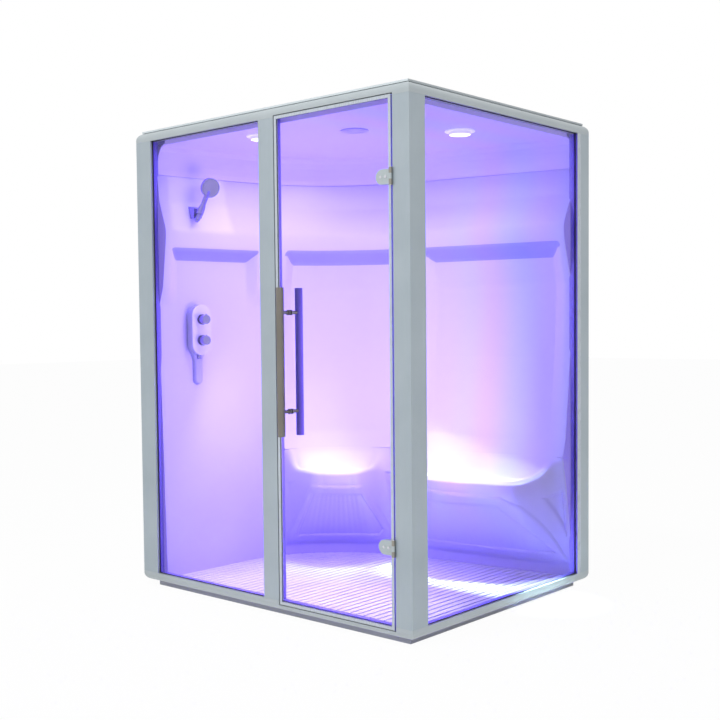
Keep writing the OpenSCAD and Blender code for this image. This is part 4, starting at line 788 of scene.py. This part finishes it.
# Steam: a painted generator box on a metal shelf behind the bench, a metal pipe, and a dark
# plastic outlet in the skirt of the bench.
boiler_paint = plastic("boiler_paint", (0.40, 0.50, 0.62), (0.46, 0.56, 0.68), 0.45)
dark_cover = plastic("dark_cover", (0.06, 0.05, 0.10), (0.09, 0.08, 0.14), 0.4)
dress(["steam_generator"], boiler_paint)
dress(["steam_outlet"], dark_cover)
dress(["steam_pipe", "generator_shelf"], polished)

# Door: two satin hinges with bronze brackets, and a pull handle of brushed tube on studs through
# the glass. The inner handle mirrors the violet room. The leaf itself is dressed further up.
brushed = metal("brushed_tube", (0.20, 0.185, 0.165), (0.27, 0.25, 0.225), 0.34, (90, 90, 2), 20, 0.9)
bronze = metal("bronze_bracket", (0.30, 0.29, 0.25), (0.40, 0.38, 0.33), 0.4, (1, 1, 1), 40, 0.8)
brushed_violet = metal("brushed_tube_violet", (0.10, 0.08, 0.42), (0.15, 0.11, 0.52), 0.34,
                       (90, 90, 2), 20, 0.7)
hinge_satin = metal("hinge_satin", (0.46, 0.52, 0.53), (0.54, 0.60, 0.61), 0.35, (1, 1, 1), 60, 0.5)
dress(["handle_outer", "handle_caps", "handle_studs"], brushed)
dress(["handle_inner"], brushed_violet)
dress(["hinge_brackets"], bronze)
dress(["hinge_plates", "hinge_backs"], hinge_satin)
dress(["hinge_screws", "hinge_pins"], polished)

# Floor and backdrop: one pale matt floor under a pale world. Seen directly, through the panes or
# in shiny metal they come out white, and the diffuse light that they give the part stays low.
HALF_FLOOR = 30


def seen_directly(tree):
    """One for what the camera sees itself, through the panes or in shiny metal."""
    path = tree.nodes.new("ShaderNodeLightPath")
    seen = path.outputs["Is Camera Ray"]
    seen = math_node(tree, "MAXIMUM", seen, path.outputs["Is Glossy Ray"])
    seen = math_node(tree, "MAXIMUM", seen, path.outputs["Is Transmission Ray"])
    straight = math_node(tree, "LESS_THAN", path.outputs["Diffuse Depth"], 0.5)
    return math_node(tree, "MULTIPLY", seen, straight)


def white_where_seen(tree, lit, white, share, output):
    """Mixes a lit surface with a white one by what is seen directly."""
    mixed = tree.nodes.new("ShaderNodeMixShader")
    link(tree, math_node(tree, "MULTIPLY", seen_directly(tree), share), mixed.inputs["Fac"])
    link(tree, lit.outputs[0], mixed.inputs[1])
    link(tree, white.outputs[0], mixed.inputs[2])
    link(tree, mixed.outputs[0], tree.nodes[output].inputs["Surface"])


sweep_mesh = bpy.data.meshes.new("studio_floor")
corners = [(x * HALF_FLOOR, y * HALF_FLOOR, 0) for x, y in ((-1, -1), (1, -1), (1, 1), (-1, 1))]
sweep_mesh.from_pydata(corners, [], [(0, 1, 2, 3)])
sweep = bpy.data.objects.new("studio_floor", sweep_mesh)
bpy.context.scene.collection.objects.link(sweep)
floor_mat, floor_tree, floor_shader = new_material("studio_floor")
floor_shader.inputs["Base Color"].default_value = (0.93, 0.93, 0.94, 1)
floor_shader.inputs["Roughness"].default_value = 0.9
floor_white = floor_tree.nodes.new("ShaderNodeEmission")
floor_white.inputs["Color"].default_value = (1, 1, 1, 1)
white_where_seen(floor_tree, floor_shader, floor_white, 0.97, "Material Output")
sweep_mesh.materials.append(floor_mat)
world = bpy.data.worlds.new("studio")
bpy.context.scene.world = world
world.use_nodes = True
backdrop = world.node_tree
air = backdrop.nodes["Background"]
air.inputs["Color"].default_value = (0.95, 0.97, 1.0, 1)
air.inputs["Strength"].default_value = 0.34
plain_white = backdrop.nodes.new("ShaderNodeBackground")
plain_white.inputs["Color"].default_value = (1, 1, 1, 1)
plain_white.inputs["Strength"].default_value = 1.0
white_where_seen(backdrop, air, plain_white, 1.0, "World Output")

# Lamps: three soft studio lamps outside, and tinted ones inside that stand for the light of the
# two ceiling lamps on the walls, the seats and the floor. Only their light shows: no camera, glass
# or metal sees them.


def soft_lamp(name, spot, target, size, power, colour=(1, 1, 1), beam=180):
    """A soft area lamp aimed at a point, with a beam of some degrees."""
    data = bpy.data.lights.new(name, "AREA")
    data.shape = "RECTANGLE"
    data.size, data.size_y = size
    data.energy = power
    data.color = colour
    data.spread = math.radians(beam)
    lamp = bpy.data.objects.new(name, data)
    lamp.location = spot
    lamp.rotation_mode = "QUATERNION"
    lamp.rotation_quaternion = (Vector(target) - Vector(spot)).to_track_quat("-Z", "Y")
    lamp.visible_camera = False
    lamp.visible_glossy = False
    lamp.visible_transmission = False
    bpy.context.scene.collection.objects.link(lamp)


violet = (0.60, 0.55, 1.0)
downlights = [(0.512, 0.089), (-0.172, -0.4235)]
soft_lamp("studio_overhead", (0.4, -2.2, 6.0), (0.2, -0.4, 0), (1.2, 0.8), 170)
soft_lamp("studio_front", (1.8, -4.6, 2.6), (0.2, 0, 1), (2.6, 2.6), 34, (0.90, 0.97, 1.0))
soft_lamp("studio_right", (4.2, -3.6, 2.4), (0.4, -0.6, 1), (2.0, 2.0), 9, (1.0, 0.95, 0.90))
for number, (x, y) in enumerate(downlights):
    soft_lamp("cabin_lamp_%d" % number, (x, y, 1.985), (x, y, 0), (0.1, 0.1), 3, violet)
soft_lamp("cabin_ceiling_wash", (0.05, -0.15, 1.93), (0.05, -0.15, 0), (1.0, 0.6), 8, violet)
soft_lamp("cabin_front_wash", (0.05, -0.42, 0.85), (0.05, 0.6, 0.40), (1.2, 0.4), 3.7, violet)
soft_lamp("cabin_side_wash", (0.62, -0.22, 0.95), (-0.7, -0.22, 0.80), (0.7, 0.7), 14.5,
          (0.76, 0.54, 1.0))
soft_lamp("cabin_seat_wash", (0.50, 0.28, 1.5), (0.50, 0.30, 0), (0.8, 0.10), 40,
          (0.60, 0.90, 1.0), 17)
soft_lamp("cabin_corner_wash", (-0.22, 0.08, 1.5), (-0.22, 0.08, 0), (0.36, 0.22), 1.1,
          (0.60, 0.84, 1.0), 26)
soft_lamp("cabin_floor_wash", (0, -0.38, 1.9), (0, -0.38, 0), (1.4, 0.30), 4.6,
          (0.98, 0.96, 1.0), 13)

# Camera at the photograph's place: its lens, shift, place and turn were fitted to the straight
# edges of the frame in the photograph.
camera_data = bpy.data.cameras.new("camera")
camera = bpy.data.objects.new("camera", camera_data)
bpy.context.scene.collection.objects.link(camera)
bpy.context.scene.camera = camera
camera_data.sensor_width = 36
camera_data.lens = 54.26
camera_data.shift_x = 0.01474
camera_data.shift_y = 0.02423
look = Vector((-0.66446, 0.74579, -0.04782)).normalized()
yaw, roll = -0.7278, -0.0100
level = Vector((math.cos(yaw), -math.sin(yaw), 0))
upward = level.cross(look)
side = math.cos(roll) * level + math.sin(roll) * upward
top = -math.sin(roll) * level + math.cos(roll) * upward
turn = Matrix((side, top, -look)).transposed().to_4x4()
camera.matrix_world = Matrix.Translation((3.272088, -3.732496, 1.203542)) @ turn
camera_data.clip_start = 0.05
camera_data.clip_end = 100
bpy.context.scene.view_settings.view_transform = "Standard"
